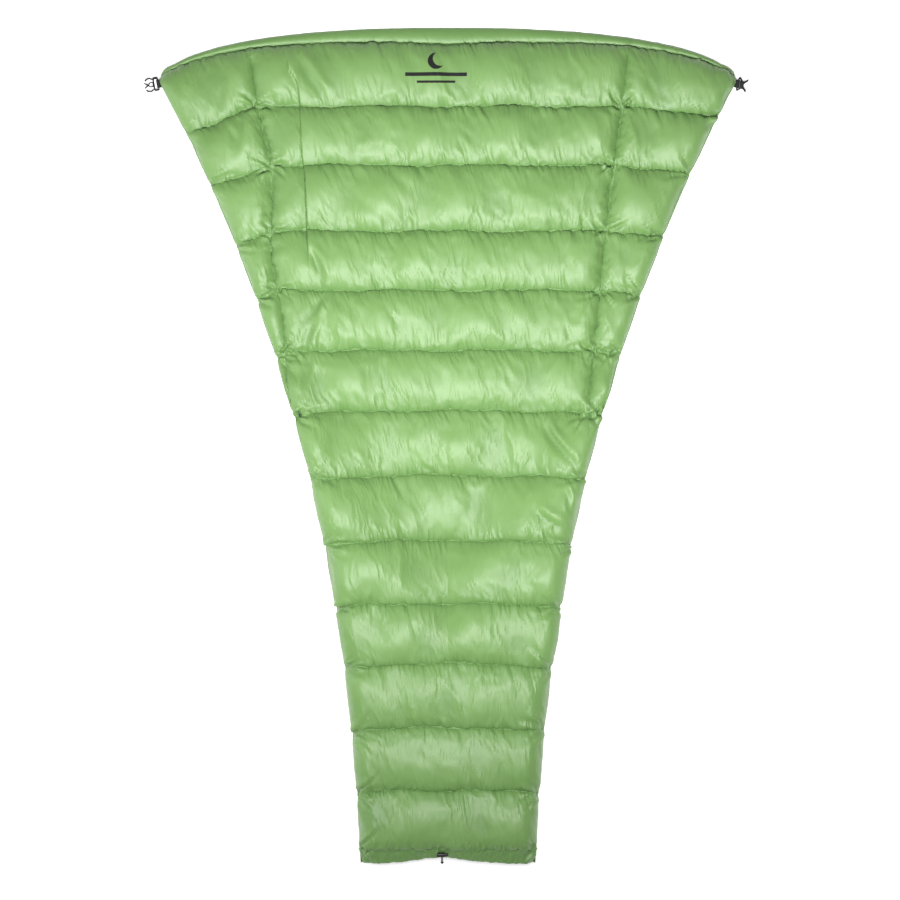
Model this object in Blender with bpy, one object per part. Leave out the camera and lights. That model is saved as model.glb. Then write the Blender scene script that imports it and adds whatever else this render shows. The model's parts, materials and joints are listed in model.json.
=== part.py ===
"""A tapered down quilt, laid flat with its outer face up.

The head end points to +Y and the outer face to +Z. The origin is on the surface that the quilt lies on,
below the middle of its outer box. Lengths are in metres. "Reach" is the distance from the head edge along
the quilt, and "offset" is the distance from its long centreline, to the left (-1) or the right (+1).
"""
import math

import bmesh
import bpy
from mathutils import Matrix, Vector

# Overall size
LENGTH = 2.000
HEAD_WIDTH = 1.378
FOOT_WIDTH = 0.417

# Outline: the sides narrow by a steep power law plus a straight share, and the head edge is an arch
TAPER_POWER = 2.35
TAPER_STRAIGHT_SHARE = 0.22
HEAD_CORNER_DROP = 0.130
HEAD_ARCH_POWER = 2.4

# Bands and rows of quilting
ROW_COUNT = 13
HEAD_BAND = 0.041
HEAD_BAND_AT_CORNER = 0.012
FOOT_BAND = 0.036
WING_ROWS = 5
FLAP_FIRST_ROW = 6
FOOTBOX_FIRST_ROW = 9

# Thicknesses
LOFT = 0.040
UNDER_LOFT = 0.030
BAFFLE_HEIGHT = 0.018
HEM_PINCH = 0.004
EDGE_SHARE = 0.35
FABRIC = 0.0004
GAP = 0.0003
LEAST_FILL = 0.001

# Edge runs: how far in from a side the fill reaches its share of the full loft
EDGE_RUN = 0.030
EDGE_RUN_SHARE = 0.75
CROWN_POWER = 0.6

# How far in from the fill's edge the centre panel and the flaps start to change shape
PANEL_EDGE_RUN = 0.090
WING_SLOPE_SHARE = 0.35
WING_HEM_SHARE = 0.25

# Side panels that fold up about their long seams: a panel's width at its head and lower ends
WING_WIDTH_HEAD = {-1: 0.206, 1: 0.250}
WING_WIDTH_LOW = {-1: 0.0171, 1: 0.0501}
SEAM_RUN_ON = 0.0594
SEAM_HEIGHT = 0.020
SEAM_RADIUS = 0.0022
SEAM_CLEARANCE = 0.003
SEAM_SLOPE = math.tan(math.radians(27.0))
SEAM_SLOPE_RUN = 0.040
WING_ROW_DROOP = {-1: 0.38, 1: 0.10}
SEAM_FOLLOW_RUN = 0.15

# Footbox: the side flaps fold under and meet at the back zip
CEILING = 0.052
FLAP_START_DROP = 0.0894
FLAP_LIFT_RUN = 0.120
FLAP_CLEARANCE = 0.012
FLAP_EDGE_FILL = 0.012
RESTING_LIFT = 0.002
ZIP_RECESS = 0.028

# Foot band: a tunnel of cloth on each layer, and the cord that runs round through both
HEM_INSIDE = 0.0052
TOP_HEM_LIFT = 0.002
CORD_BEND_INSET = 0.030
CORD_SETBACK = 0.014
EXIT_SETBACK = 0.0032
EXIT_SLOT_LENGTH = 0.0044
EXIT_SLOT_WIDTH = 0.0064
EXIT_RUN = 0.016
CORD_BEND = 0.005
CORD_END_INSET = 0.004
STRAND_GAP = 0.0005

# Zip
COIL_RADIUS = 0.0011
COIL_SPACING = 0.0038
COIL_HEIGHT = 0.0085
TAPE_THICKNESS = 0.0006
SLIDER_LENGTH = 0.012
SLIDER_WIDTH = 0.009
SLIDER_PLATE = 0.0011
SLIDER_BRIDGE_WIDTH = 0.0010
PULL_LENGTH = 0.016
PULL_WIDTH = 0.0055
PULL_THICKNESS = 0.0012
PULL_DROP = 0.0024
PULL_BAR_RADIUS = 0.0006
PULL_REST_TILT = math.radians(10.0)
PULL_WALL = 0.0006
SLIDER_SETBACK = 0.004
BRIDGE_LENGTH = 0.004
BRIDGE_INSET = 0.001
EAR_THICKNESS = 0.0009
EAR_INSET = 0.0008
EAR_HALF_LENGTH = 0.0011
EAR_BELOW_BAR = 0.0010

# Cords
CORD_RADIUS = 0.0011
NECK_ELASTIC_RADIUS = 0.0014
ELASTIC_END_INSET = 0.055
ELASTIC_BAND_SHARE = 0.35
BAND_INSIDE = 0.0036
CORD_TAIL = 0.019
CORD_EXIT_OFFSET = -0.014

# Buckles, for 20 mm webbing
WEBBING_WIDTH = 0.020
WEBBING_THICKNESS = 0.0012
BUCKLE_WIDTH = 0.034
BUCKLE_THICKNESS = 0.0040
BUCKLE_BAR = 0.0032
BUCKLE_HEIGHT = 0.0052
TAB_REACH = 0.007
MALE_LENGTH = 0.036
FEMALE_LENGTH = 0.025
FEMALE_THICKNESS = 0.0080
SOCKET_HEIGHT = 0.0048
SOCKET_WIDTH = 0.0132
SOCKET_START = 0.0085
ARM_GAP = 0.0004
BUCKLE_HEADING = {-1: math.radians(190.0), 1: math.radians(-14.0)}
BUCKLE_SIDE_RAIL = 0.0052
CROSSBAR_REACH = 0.0136
CROSSBAR_DEPTH = 0.0034
GUIDE_HALF_WIDTH = 0.0060
GUIDE_WALL = 0.0022
GUIDE_LENGTH = 0.0080
FORK_HALF_WIDTH = 0.0072
FORK_REACH = 0.0205
WAIST_HALF_WIDTH = 0.0022
WAIST_REACH = 0.0120
FORK_NOTCH = 0.0150
ARM_ROOT = (0.0, 0.0118)
ARM_BOW = (0.0106, 0.0205)
ARM_TIP = (0.0181, 0.0105)
ARM_ROOT_HALF = 0.0017
ARM_TIP_HALF = 0.0019
ARM_STEPS = 8
WRAP_ANGLE = math.radians(150.0)
WRAP_STEPS = 14

# Cord lock
LOCK_RADIUS = 0.0060
LOCK_LENGTH = 0.019
LOCK_END_WALL = 0.0014
LOCK_BORE_RADIUS = 0.0045
PLUNGER_RADIUS = 0.0042
PLUNGER_LENGTH = 0.019
PLUNGER_WALL = 0.0018
PLUNGER_TRAVEL = 0.005
SPRING_WIRE_RADIUS = 0.00035
SPRING_RADIUS = 0.0026
SPRING_CLOSED = 0.0016
SPRING_TURNS = 4
STEPS_A_TURN = 10
LOCK_BEYOND_EXIT = 0.0100
BARREL_EDGE = 0.0008
PLUNGER_EDGE = 0.0004
PLUNGER_TOP_EDGE = 0.0012
THROUGH = 0.040

# Values that follow from the ones above
LINING_TOP = FABRIC + GAP
ROW_PITCH = (LENGTH - HEAD_BAND - FOOT_BAND) / ROW_COUNT
WING_END_REACH = HEAD_BAND + WING_ROWS * ROW_PITCH
SEAM_LOW_REACH = WING_END_REACH + SEAM_RUN_ON
FLAP_START_REACH = WING_END_REACH + FLAP_START_DROP
SEAM_STRIP = FABRIC / 2 + GAP + 0.0001
RING_INNER = math.hypot(BUCKLE_BAR / 2, BUCKLE_THICKNESS / 2) + GAP
RING_OUTER = RING_INNER + WEBBING_THICKNESS
MALE_REACH = TAB_REACH + MALE_LENGTH - BUCKLE_BAR / 2
FEMALE_REACH = TAB_REACH + FEMALE_LENGTH - BUCKLE_BAR / 2
CENTRE_X = (MALE_REACH - FEMALE_REACH) / 2
FOOT_SEAM_REACH = LENGTH - FOOT_BAND
ZIP_TOP_REACH = HEAD_BAND + FOOTBOX_FIRST_ROW * ROW_PITCH
HEM_DEPTH = FOOT_BAND - GAP + SEAM_STRIP
TOP_HEM_HEIGHT = CEILING + TOP_HEM_LIFT
CORD_REACH = LENGTH - CORD_SETBACK
EXIT_REACH = FOOT_SEAM_REACH + EXIT_SETBACK
STRAND_SPACING = 2 * CORD_RADIUS + STRAND_GAP
LOCK_REACH = EXIT_REACH + LOCK_BEYOND_EXIT
LOCK_HEIGHT = TOP_HEM_HEIGHT + HEM_INSIDE + 2 * FABRIC + GAP + LOCK_RADIUS
TAIL_THICKNESS = 2 * WEBBING_THICKNESS
TAIL_LOW = -BUCKLE_HEIGHT + LINING_TOP
BUCKLE_HALF = BUCKLE_WIDTH / 2
SLOT_HALF = BUCKLE_HALF - BUCKLE_SIDE_RAIL
BAR_BACK = -BUCKLE_BAR / 2
CROSSBAR = BAR_BACK + CROSSBAR_REACH

# Colours
SHELL_GREEN = (0.262, 0.511, 0.159)
LINING_GREEN = (0.205, 0.420, 0.120)
DOWN_WHITE = (0.86, 0.85, 0.81)
MESH_WHITE = (0.75, 0.78, 0.75)
TRIM_BLACK = (0.012, 0.012, 0.014)
STEEL = (0.55, 0.55, 0.56)

# Grid knots: shares across a row, a head band and an under flap, and across a baffle strip with
# whether the lining stands up there as the wall
ROW_KNOTS = (0.0, 0.22, 0.5, 0.78, 1.0)
BAND_KNOTS = (0.0, 0.6)
FLAP_KNOTS = (0.0, 0.2, 0.6, 1.0)
BAFFLE_KNOTS = ((0.27, False), (0.32, True), (0.68, True), (0.73, False))

SIDE_NAMES = {-1: "left", 1: "right"}
FLAP_ROWS = range(FLAP_FIRST_ROW, ROW_COUNT)


def clear_scene():
    """Remove every object that the scene holds."""
    for old in list(bpy.data.objects):
        bpy.data.objects.remove(old, do_unlink=True)


def new_collection(name):
    """Add an empty collection to the scene."""
    made = bpy.data.collections.new(name)
    bpy.context.scene.collection.children.link(made)
    return made


def new_material(name, colour, roughness, metallic=0.0):
    """Give back a plain Principled material."""
    made = bpy.data.materials.new(name)
    made.use_nodes = True
    shader = made.node_tree.nodes["Principled BSDF"]
    shader.inputs["Base Color"].default_value = (*colour, 1.0)
    shader.inputs["Roughness"].default_value = roughness
    shader.inputs["Metallic"].default_value = metallic
    return made


clear_scene()
PARTS = new_collection("camp_quilt")
CUTTERS = new_collection("cutters")


def add_mesh_object(name, mesh, colour, roughness, metallic=0.0, smooth_below=None):
    """Turn a bmesh into a named part with its own material."""
    bmesh.ops.recalc_face_normals(mesh, faces=mesh.faces)
    data = bpy.data.meshes.new(name)
    mesh.to_mesh(data)
    mesh.free()
    if smooth_below is not None:
        data.shade_smooth()
        data.set_sharp_from_angle(angle=smooth_below)
    data.materials.append(new_material(name, colour, roughness, metallic))
    made = bpy.data.objects.new(name, data)
    PARTS.objects.link(made)
    return made


# ---------------------------------------------------------------- outline and seam lines

def ease(value):
    """Run smoothly from 0 to 1 while the value does."""
    value = min(max(value, 0.0), 1.0)
    return value * value * (3.0 - 2.0 * value)


def mix(first, second, share):
    """Blend two numbers."""
    return first + (second - first) * share


def outline_offset(reach):
    """Half the quilt's width at a reach."""
    left = 1.0 - max(0.0, reach - HEAD_CORNER_DROP) / (LENGTH - HEAD_CORNER_DROP)
    left = max(left, 0.0)
    share = (1.0 - TAPER_STRAIGHT_SHARE) * left ** TAPER_POWER + TAPER_STRAIGHT_SHARE * left
    return mix(FOOT_WIDTH, HEAD_WIDTH, share) / 2


def head_edge(offset):
    """Reach of the arched head edge at an offset."""
    share = min(abs(offset) / (HEAD_WIDTH / 2), 1.0)
    return HEAD_CORNER_DROP * (1.0 - math.sqrt(1.0 - share ** HEAD_ARCH_POWER))


def head_seam(offset):
    """Reach of the seam below the head band, which narrows to the corners."""
    share = min(abs(offset) / (HEAD_WIDTH / 2), 1.0)
    return head_edge(offset) + mix(HEAD_BAND, HEAD_BAND_AT_CORNER, share)


def side_seam_offset(side, reach):
    """Offset of a long side seam, which is the fold line of its side panel."""
    at_head = outline_offset(0.0) - WING_WIDTH_HEAD[side]
    at_low_end = outline_offset(SEAM_LOW_REACH) - WING_WIDTH_LOW[side]
    return mix(at_head, at_low_end, reach / SEAM_LOW_REACH)


def row_seam(index, side, offset):
    """Reach of a cross seam, which droops on the side panels."""
    if index == 0:
        return head_seam(offset)
    reach = HEAD_BAND + index * ROW_PITCH
    beyond = max(0.0, offset - side_seam_offset(side, reach))
    return reach + WING_ROW_DROOP[side] * beyond * (index <= WING_ROWS)


def centre_edge(side, reach):
    """Offset of the centre panel's edge: the side seam, and below the side panels the outline."""
    at_seam = side_seam_offset(side, reach) - SEAM_CLEARANCE
    share = (reach - WING_END_REACH) / (SEAM_LOW_REACH - WING_END_REACH)
    return mix(at_seam, outline_offset(reach), min(max(share, 0.0), 1.0))


def where_line_meets(line, edge):
    """Offset at which a line reach(offset) meets an edge offset(reach), found by repeated steps."""
    offset = edge(line(FOOT_WIDTH / 2))
    rounds, step = 30, 0.7
    for _ in range(rounds):
        offset = mix(offset, edge(line(offset)), step)
    return offset


# ---------------------------------------------------------------- heights

def row_profile(index, share):
    """Thickness of the fill across a row, from its head seam (0) to its foot seam (1)."""
    first = HEM_PINCH if index == 0 else BAFFLE_HEIGHT
    at_seams = mix(first, BAFFLE_HEIGHT, share)
    crown = (4.0 * share * (1.0 - share)) ** CROWN_POWER
    return mix(at_seams, LOFT, crown)


def edge_share(distance):
    """Share of the fill at a distance in from a hemmed side."""
    if distance <= EDGE_RUN:
        return mix(EDGE_SHARE, EDGE_RUN_SHARE, distance / EDGE_RUN)
    return mix(EDGE_RUN_SHARE, 1.0, min((distance - EDGE_RUN) / EDGE_RUN, 1.0))


def flap_edge_offset(reach):
    """Offset of the free edge of the flaps that fold under, down to the zip."""
    share = (reach - FLAP_START_REACH) / (ZIP_TOP_REACH - FLAP_START_REACH)
    return mix(outline_offset(FLAP_START_REACH), 0.0, share)


def top_layer_floor(reach, offset):
    """Height of the underside of the top layer's fill, raised where the flaps lie below it."""
    rise = ease((reach - WING_END_REACH) / (FLAP_START_REACH - WING_END_REACH))
    over = ease(0.5 + (offset - flap_edge_offset(reach)) / FLAP_LIFT_RUN)
    settled = LINING_TOP + RESTING_LIFT * ease((reach - WING_END_REACH) / ROW_PITCH)
    return mix(settled, CEILING, rise * over)


def seam_limits(distance):
    """Lowest and highest fill at a distance from a fold seam, so that the side panel can fold."""
    run = max(distance - SEAM_CLEARANCE, 0.0)
    half = LEAST_FILL / 2 + run * SEAM_SLOPE
    return SEAM_HEIGHT - half, SEAM_HEIGHT + half


def fill_heights(floor, thickness, seam_distance):
    """Underside and top of the fill, held inside the fold seam's limits."""
    lowest, highest = floor, floor + thickness
    if seam_distance is not None:
        limit_low, limit_high = seam_limits(seam_distance)
        lowest = max(lowest, limit_low)
        highest = min(highest, limit_high)
    return lowest, max(highest, lowest + LEAST_FILL)


# ---------------------------------------------------------------- grids of stations

class Station:
    """One grid point: its place in plan, and the underside and top of the fill there."""

    def __init__(self, side, offset, reach, low, high):
        self.x = CENTRE_X + side * offset
        self.y = LENGTH / 2 - reach
        self.low = low
        self.high = high
        self.wall_top = None


def row_line(index, share, side):
    """Reach along one line across a row, as a function of the offset."""
    def line(offset):
        start = row_seam(index, side, offset) + SEAM_STRIP
        end = row_seam(index + 1, side, offset) - SEAM_STRIP
        return mix(start, end, share)
    return line


def centre_half(index, share, side):
    """Stations from the centreline to one edge of the centre panel, on one line of a row."""
    line = row_line(index, share, side)
    edge = where_line_meets(line, lambda reach: centre_edge(side, reach))
    folds = index < WING_ROWS
    inner = edge - PANEL_EDGE_RUN
    offsets = (0.0, inner / 2, inner, edge - SEAM_SLOPE_RUN + SEAM_CLEARANCE, edge)
    stations = []
    for offset in offsets:
        reach = line(offset)
        thickness = row_profile(index, share)
        if not folds:
            thickness *= edge_share(outline_offset(reach) - offset)
        distance = edge - offset + SEAM_CLEARANCE if folds else None
        low, high = fill_heights(top_layer_floor(reach, offset), thickness, distance)
        stations.append(Station(side, offset, reach, low, high))
    return stations


def centre_line(index, share):
    """Stations across the whole centre panel, left to right."""
    left = centre_half(index, share, -1)
    right = centre_half(index, share, 1)
    return left[:0:-1] + right


def wing_line(index, share, side):
    """Stations across a side panel, from its fold seam to the outline."""
    line = row_line(index, share, side)
    inner = where_line_meets(line, lambda reach: side_seam_offset(side, reach) + SEAM_CLEARANCE)
    outer = where_line_meets(line, outline_offset)
    width = outer - inner
    slope_run = min(SEAM_SLOPE_RUN - SEAM_CLEARANCE, WING_SLOPE_SHARE * width)
    hem_run = min(EDGE_RUN, WING_HEM_SHARE * width)
    middle = mix(inner + slope_run, outer - hem_run, 0.5)
    stations = []
    for offset in (inner, inner + slope_run, middle, outer - hem_run, outer):
        thickness = row_profile(index, share) * edge_share(outer - offset)
        distance = offset - inner + SEAM_CLEARANCE
        low, high = fill_heights(LINING_TOP, thickness, distance)
        stations.append(Station(side, offset, line(offset), low, high))
    return stations


def flap_line(index, share, side):
    """Stations across an under flap, from its free edge or the zip recess to the outline."""
    line = row_line(index, share, side)
    reach = line(0.0)
    outer = outline_offset(reach)
    inner = max(flap_edge_offset(reach), ZIP_RECESS / 2)
    profile = row_profile(index, share) / LOFT * UNDER_LOFT
    stations = []
    for part in FLAP_KNOTS:
        offset = mix(inner, outer, part)
        thickness = mix(FLAP_EDGE_FILL, profile, ease(part / FLAP_KNOTS[1]))
        room = top_layer_floor(reach, offset) - FLAP_CLEARANCE
        high = max(min(LINING_TOP + thickness, room), LINING_TOP + LEAST_FILL)
        stations.append(Station(side, offset, reach, LINING_TOP, high))
    return stations


# ---------------------------------------------------------------- cloth and fill solids

def layered_body(mesh, lines, low_of, high_of):
    """Add a closed body to a bmesh: a grid of stations between two heights."""
    rows, columns = len(lines), len(lines[0])
    grid = bmesh.ops.create_grid(mesh, x_segments=columns - 1, y_segments=rows - 1, size=0.5)
    floor = sorted(grid["verts"], key=lambda vert: (-round(vert.co.y, 5), vert.co.x))
    stations = [station for line in lines for station in line]
    for vert, station in zip(floor, stations):
        vert.co = (station.x, station.y, low_of(station))
    faces = list({face for vert in floor for face in vert.link_faces})
    faces = bmesh.ops.triangulate(mesh, faces=faces, quad_method="FIXED")["faces"]
    copy = bmesh.ops.duplicate(mesh, geom=floor + list({e for f in faces for e in f.edges}) + faces)
    top_of = {low: copy["vert_map"][low] for low in floor}
    for vert, station in zip(floor, stations):
        top_of[vert].co.z = high_of(station)
    rim = [edge for edge in {e for f in faces for e in f.edges} if edge.is_boundary]
    for edge in rim:
        first, second = edge.verts
        mesh.faces.new((first, second, top_of[second], top_of[first]))


def row_lines(line_of, index, side=None):
    """All lines of stations of one row."""
    if side is None:
        return [line_of(index, share) for share in ROW_KNOTS]
    return [line_of(index, share, side) for share in ROW_KNOTS]


def add_fill(name, lines):
    """One node of down: a closed cushion between its underside and its top."""
    mesh = bmesh.new()
    layered_body(mesh, lines, lambda at: at.low, lambda at: at.high)
    return add_mesh_object(name, mesh, DOWN_WHITE, 0.95)


def add_sheet(name, lines, height_of, colour):
    """One node of cloth lying on a grid of stations."""
    mesh = bmesh.new()
    layered_body(mesh, lines, height_of, lambda at: height_of(at) + FABRIC)
    return add_mesh_object(name, mesh, colour, 0.35)


def over_fill(station):
    """Underside of the cloth that lies on the fill."""
    return station.high + GAP


def under_fill(station):
    """Underside of the cloth that lies below the fill."""
    return station.low - GAP - FABRIC


def add_baffled_lining(name, line_of, indices, first_lines=(), side=None):
    """A lining with a baffle wall sewn upright on it in the strip between each two rows."""
    lines = list(first_lines)
    for index in indices:
        rows = row_lines(line_of, index, side)
        lines += rows
        if index != indices[-1]:
            facing = row_lines(line_of, index + 1, side)[0]
            lines += baffle_lines(rows[-1], facing)
    mesh = bmesh.new()
    layered_body(mesh, lines, under_fill, lambda at: at.wall_top or at.low - GAP)
    return add_mesh_object(name, mesh, LINING_GREEN, 0.35)


def baffle_lines(above, below):
    """Four lines in the strip between two rows: the foot and the top of the wall's two faces."""
    lines = []
    for share, upright in BAFFLE_KNOTS:
        line = []
        for first, second in zip(above, below):
            made = Station(1, 0.0, 0.0, mix(first.low, second.low, share), 0.0)
            made.x = mix(first.x, second.x, share)
            made.y = mix(first.y, second.y, share)
            if upright:
                made.wall_top = min(first.high, second.high)
            line.append(made)
        lines.append(line)
    return lines


def add_hem(name, points):
    """A narrow upright strip of folded cloth along points of (x, y, low, high, outward vector)."""
    mesh = bmesh.new()
    lines = []
    for push in (GAP, GAP + FABRIC):
        line = []
        for x, y, low, high, outward in points:
            made = Station(1, 0.0, 0.0, low, high)
            made.x = x + outward.x * push
            made.y = y + outward.y * push
            line.append(made)
        lines.append(line)
    layered_body(mesh, lines, lambda at: at.low, lambda at: at.high)
    return add_mesh_object(name, mesh, SHELL_GREEN, 0.35)


def band_stations(stations, share):
    """Copies of a row's first line, moved towards the head edge to a share of the band.

    The copies near a side seam follow its slant.
    """
    made = []
    for station in stations:
        offset = station.x - CENTRE_X
        side = -1 if offset < 0 else 1
        reach = mix(head_edge(offset), head_seam(offset), share)
        seam_now = side_seam_offset(side, reach)
        seam_before = side_seam_offset(side, head_seam(offset))
        nearness = max(0.0, 1.0 - abs(abs(offset) - seam_before) / SEAM_FOLLOW_RUN)
        moved = offset + side * nearness * (seam_now - seam_before)
        top = max(LINING_TOP + BAND_INSIDE, station.low + LEAST_FILL)
        made.append(Station(1, moved, mix(head_edge(moved), head_seam(moved), share), station.low, top))
    return made


def whole_lines(line_of, indices, side=None):
    """Every line of a cloth over several rows."""
    return [line for index in indices for line in row_lines(line_of, index, side)]


def outward_at(points, index):
    """Unit vector in plan that points away from the quilt at one point of a rim, head to foot."""
    before = Vector(points[max(index - 1, 0)])
    after = Vector(points[min(index + 1, len(points) - 1)])
    along = (after - before).normalized()
    return Vector((along.y, -along.x)) if along.y < 0 else Vector((-along.y, along.x))


def rim_hem(name, stations, side, low_of, high_of):
    """A hem along the outline through the last stations of many lines."""
    plan = [(station.x, station.y) for station in stations]
    points = []
    for index, station in enumerate(stations):
        outward = outward_at(plan, index)
        if outward.x * side < 0:
            outward = -outward
        points.append((station.x, station.y, low_of(station), high_of(station), outward))
    return add_hem(name, points)


def fold_floor(station):
    """Foot of a folded side edge: the floor where a flap lies below, else the top layer's underside."""
    under_flap = LENGTH / 2 - station.y > FLAP_START_REACH
    return FABRIC + GAP if under_flap else station.low


# Centre panel: thirteen rows of down between the outer shell and the lining
for row in range(ROW_COUNT):
    add_fill(f"down_chamber_{row + 1:02d}", row_lines(centre_line, row))

centre_lines = whole_lines(centre_line, range(ROW_COUNT))
head_lines = [band_stations(centre_lines[0], share) for share in BAND_KNOTS]
add_sheet("outer_shell_center", head_lines + centre_lines, over_fill, SHELL_GREEN)
add_baffled_lining("lining_center", centre_line, range(FLAP_FIRST_ROW), head_lines)
add_baffled_lining("lining_footbox", centre_line, FLAP_ROWS)

# Side panels: five rows each, which fold up about the long seams
for side, side_name in SIDE_NAMES.items():
    lines = whole_lines(wing_line, range(WING_ROWS), side)
    band = [band_stations(lines[0], share) for share in BAND_KNOTS]
    add_fill(f"{side_name}_wing_down", lines)
    add_sheet(f"{side_name}_wing_shell", band + lines, over_fill, SHELL_GREEN)
    add_sheet(f"{side_name}_wing_lining", band + lines, under_fill, LINING_GREEN)
    rim_hem(f"{side_name}_wing_hem", [line[-1] for line in lines], side,
            lambda at: at.low, lambda at: at.high)

# Under layer: the flaps folded under the lower half, with the outer shell on the floor side
for side, side_name in SIDE_NAMES.items():
    lines = whole_lines(flap_line, FLAP_ROWS, side)
    add_fill(f"under_{side_name}_down", lines)
    add_sheet(f"under_{side_name}_lining", lines, over_fill, LINING_GREEN)
    add_sheet(f"under_{side_name}_shell", lines, under_fill, SHELL_GREEN)

# Folded side edges below the side panels: from the floor side up to the top layer
for side, side_name in SIDE_NAMES.items():
    edge_stations = [half[-1] for row in range(WING_ROWS + 1, ROW_COUNT)
                     for half in [centre_half(row, share, side) for share in ROW_KNOTS]]
    rim_hem(f"{side_name}_side_fold", edge_stations, side, fold_floor, lambda at: at.high)


# ---------------------------------------------------------------- rods, plates and cords

def plan_point(offset, reach, height):
    """World place of an offset (negative to the left), a reach and a height."""
    return Vector((CENTRE_X + offset, LENGTH / 2 - reach, height))


def add_rod(name, start, end, radius, colour, roughness=0.5, sides=12):
    """A straight round rod between two points."""
    along = end - start
    turn = along.to_track_quat("Z", "Y").to_matrix().to_4x4()
    mesh = bmesh.new()
    bmesh.ops.create_cone(mesh, cap_ends=True, segments=sides, radius1=radius, radius2=radius,
                          depth=along.length, matrix=turn)
    made = add_mesh_object(name, mesh, colour, roughness, smooth_below=math.radians(40))
    made.location = (start + end) / 2
    return made


def box(mesh, low, high):
    """Add a box between two corners to a bmesh."""
    size = Vector(high) - Vector(low)
    middle = (Vector(high) + Vector(low)) / 2
    bmesh.ops.create_cube(mesh, size=1.0, matrix=Matrix.Translation(middle) @ Matrix.Diagonal((*size, 1)))


def add_cord(name, points, radius, colour):
    """A round cord that runs straight from each point to the next."""
    curve = bpy.data.curves.new(name, "CURVE")
    curve.dimensions = "3D"
    curve.bevel_depth = radius
    curve.bevel_resolution = 2
    curve.use_fill_caps = True
    spline = curve.splines.new("POLY")
    spline.points.add(len(points) - 1)
    for knot, point in zip(spline.points, points):
        knot.co = (*point, 1.0)
    curve.materials.append(new_material(name, colour, 0.7))
    made = bpy.data.objects.new(name, curve)
    PARTS.objects.link(made)
    return made


def rounded_route(corners, bend, steps=4):
    """Points along a route whose corners are rounded off by a bend length."""
    points = [Vector(corners[0])]
    for before, corner, after in zip(corners, corners[1:], corners[2:]):
        corner = Vector(corner)
        inward = (Vector(before) - corner)
        outward = (Vector(after) - corner)
        start = corner + inward.normalized() * min(bend, inward.length * 0.45)
        end = corner + outward.normalized() * min(bend, outward.length * 0.45)
        for step in range(steps + 1):
            share = step / steps
            first = start.lerp(corner, share)
            points.append(first.lerp(corner.lerp(end, share), share))
    points.append(Vector(corners[-1]))
    return points


def plate_mesh(name, outline, holes, thickness):
    """Mesh of a flat plate in the local XY plane, with holes through it."""
    curve = bpy.data.curves.new(name, "CURVE")
    curve.dimensions = "2D"
    curve.fill_mode = "BOTH"
    curve.extrude = thickness / 2
    for loop in [outline] + list(holes):
        spline = curve.splines.new("POLY")
        spline.points.add(len(loop) - 1)
        spline.use_cyclic_u = True
        for knot, (x, y) in zip(spline.points, loop):
            knot.co = (x, y, 0.0, 1.0)
    holder = bpy.data.objects.new(name, curve)
    bpy.context.scene.collection.objects.link(holder)
    graph = bpy.context.evaluated_depsgraph_get()
    data = bpy.data.meshes.new_from_object(holder.evaluated_get(graph))
    bpy.data.objects.remove(holder, do_unlink=True)
    bpy.data.curves.remove(curve)
    mesh = bmesh.new()
    mesh.from_mesh(data)
    bpy.data.meshes.remove(data)
    bmesh.ops.remove_doubles(mesh, verts=mesh.verts, dist=1e-5)
    return mesh


def mirrored(half):
    """A closed outline from the half with y at or above 0, listed from the back to the front."""
    return list(half) + [(x, -y) for x, y in reversed(half) if y > 0]


def circle(radius, sides=16, middle=(0.0, 0.0)):
    """Points round a circle."""
    turns = [2 * math.pi * step / sides for step in range(sides)]
    return [(middle[0] + radius * math.cos(turn), middle[1] + radius * math.sin(turn)) for turn in turns]


def change_shape(target, cutter_mesh, name, operation="DIFFERENCE"):
    """Cut a shape out of a part, or join one to it, and keep that shape hidden beside it."""
    data = bpy.data.meshes.new(name)
    bmesh.ops.recalc_face_normals(cutter_mesh, faces=cutter_mesh.faces)
    cutter_mesh.to_mesh(data)
    cutter_mesh.free()
    cutter = bpy.data.objects.new(name, data)
    cutter.hide_render = True
    cutter.display_type = "WIRE"
    cutter.matrix_world = target.matrix_world
    CUTTERS.objects.link(cutter)
    change = target.modifiers.new(name, "BOOLEAN")
    change.operation = operation
    change.object = cutter


# Long side seams: the gathered roll of cloth and thread that each side panel folds about
for side, side_name in SIDE_NAMES.items():
    ends = []
    for reach in (head_edge(side_seam_offset(side, 0.0)), WING_END_REACH):
        ends.append(plan_point(side * side_seam_offset(side, reach), reach, SEAM_HEIGHT))
    add_rod(f"{side_name}_side_seam", *ends, SEAM_RADIUS, SHELL_GREEN)

# Elastic inside the head band, between the side seams
elastic_route = []
elastic_steps = 32
for step in range(elastic_steps + 1):
    share = 2 * step / elastic_steps - 1
    side = -1 if share < 0 else 1
    offset = share * (side_seam_offset(side, 0.0) - ELASTIC_END_INSET)
    reach = mix(head_edge(offset), head_seam(offset), ELASTIC_BAND_SHARE)
    elastic_route.append(plan_point(offset, reach, (FABRIC + LINING_TOP + BAND_INSIDE + GAP) / 2))
add_cord("neck_elastic", elastic_route, NECK_ELASTIC_RADIUS, MESH_WHITE)


# ---------------------------------------------------------------- foot band and drawcord

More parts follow.
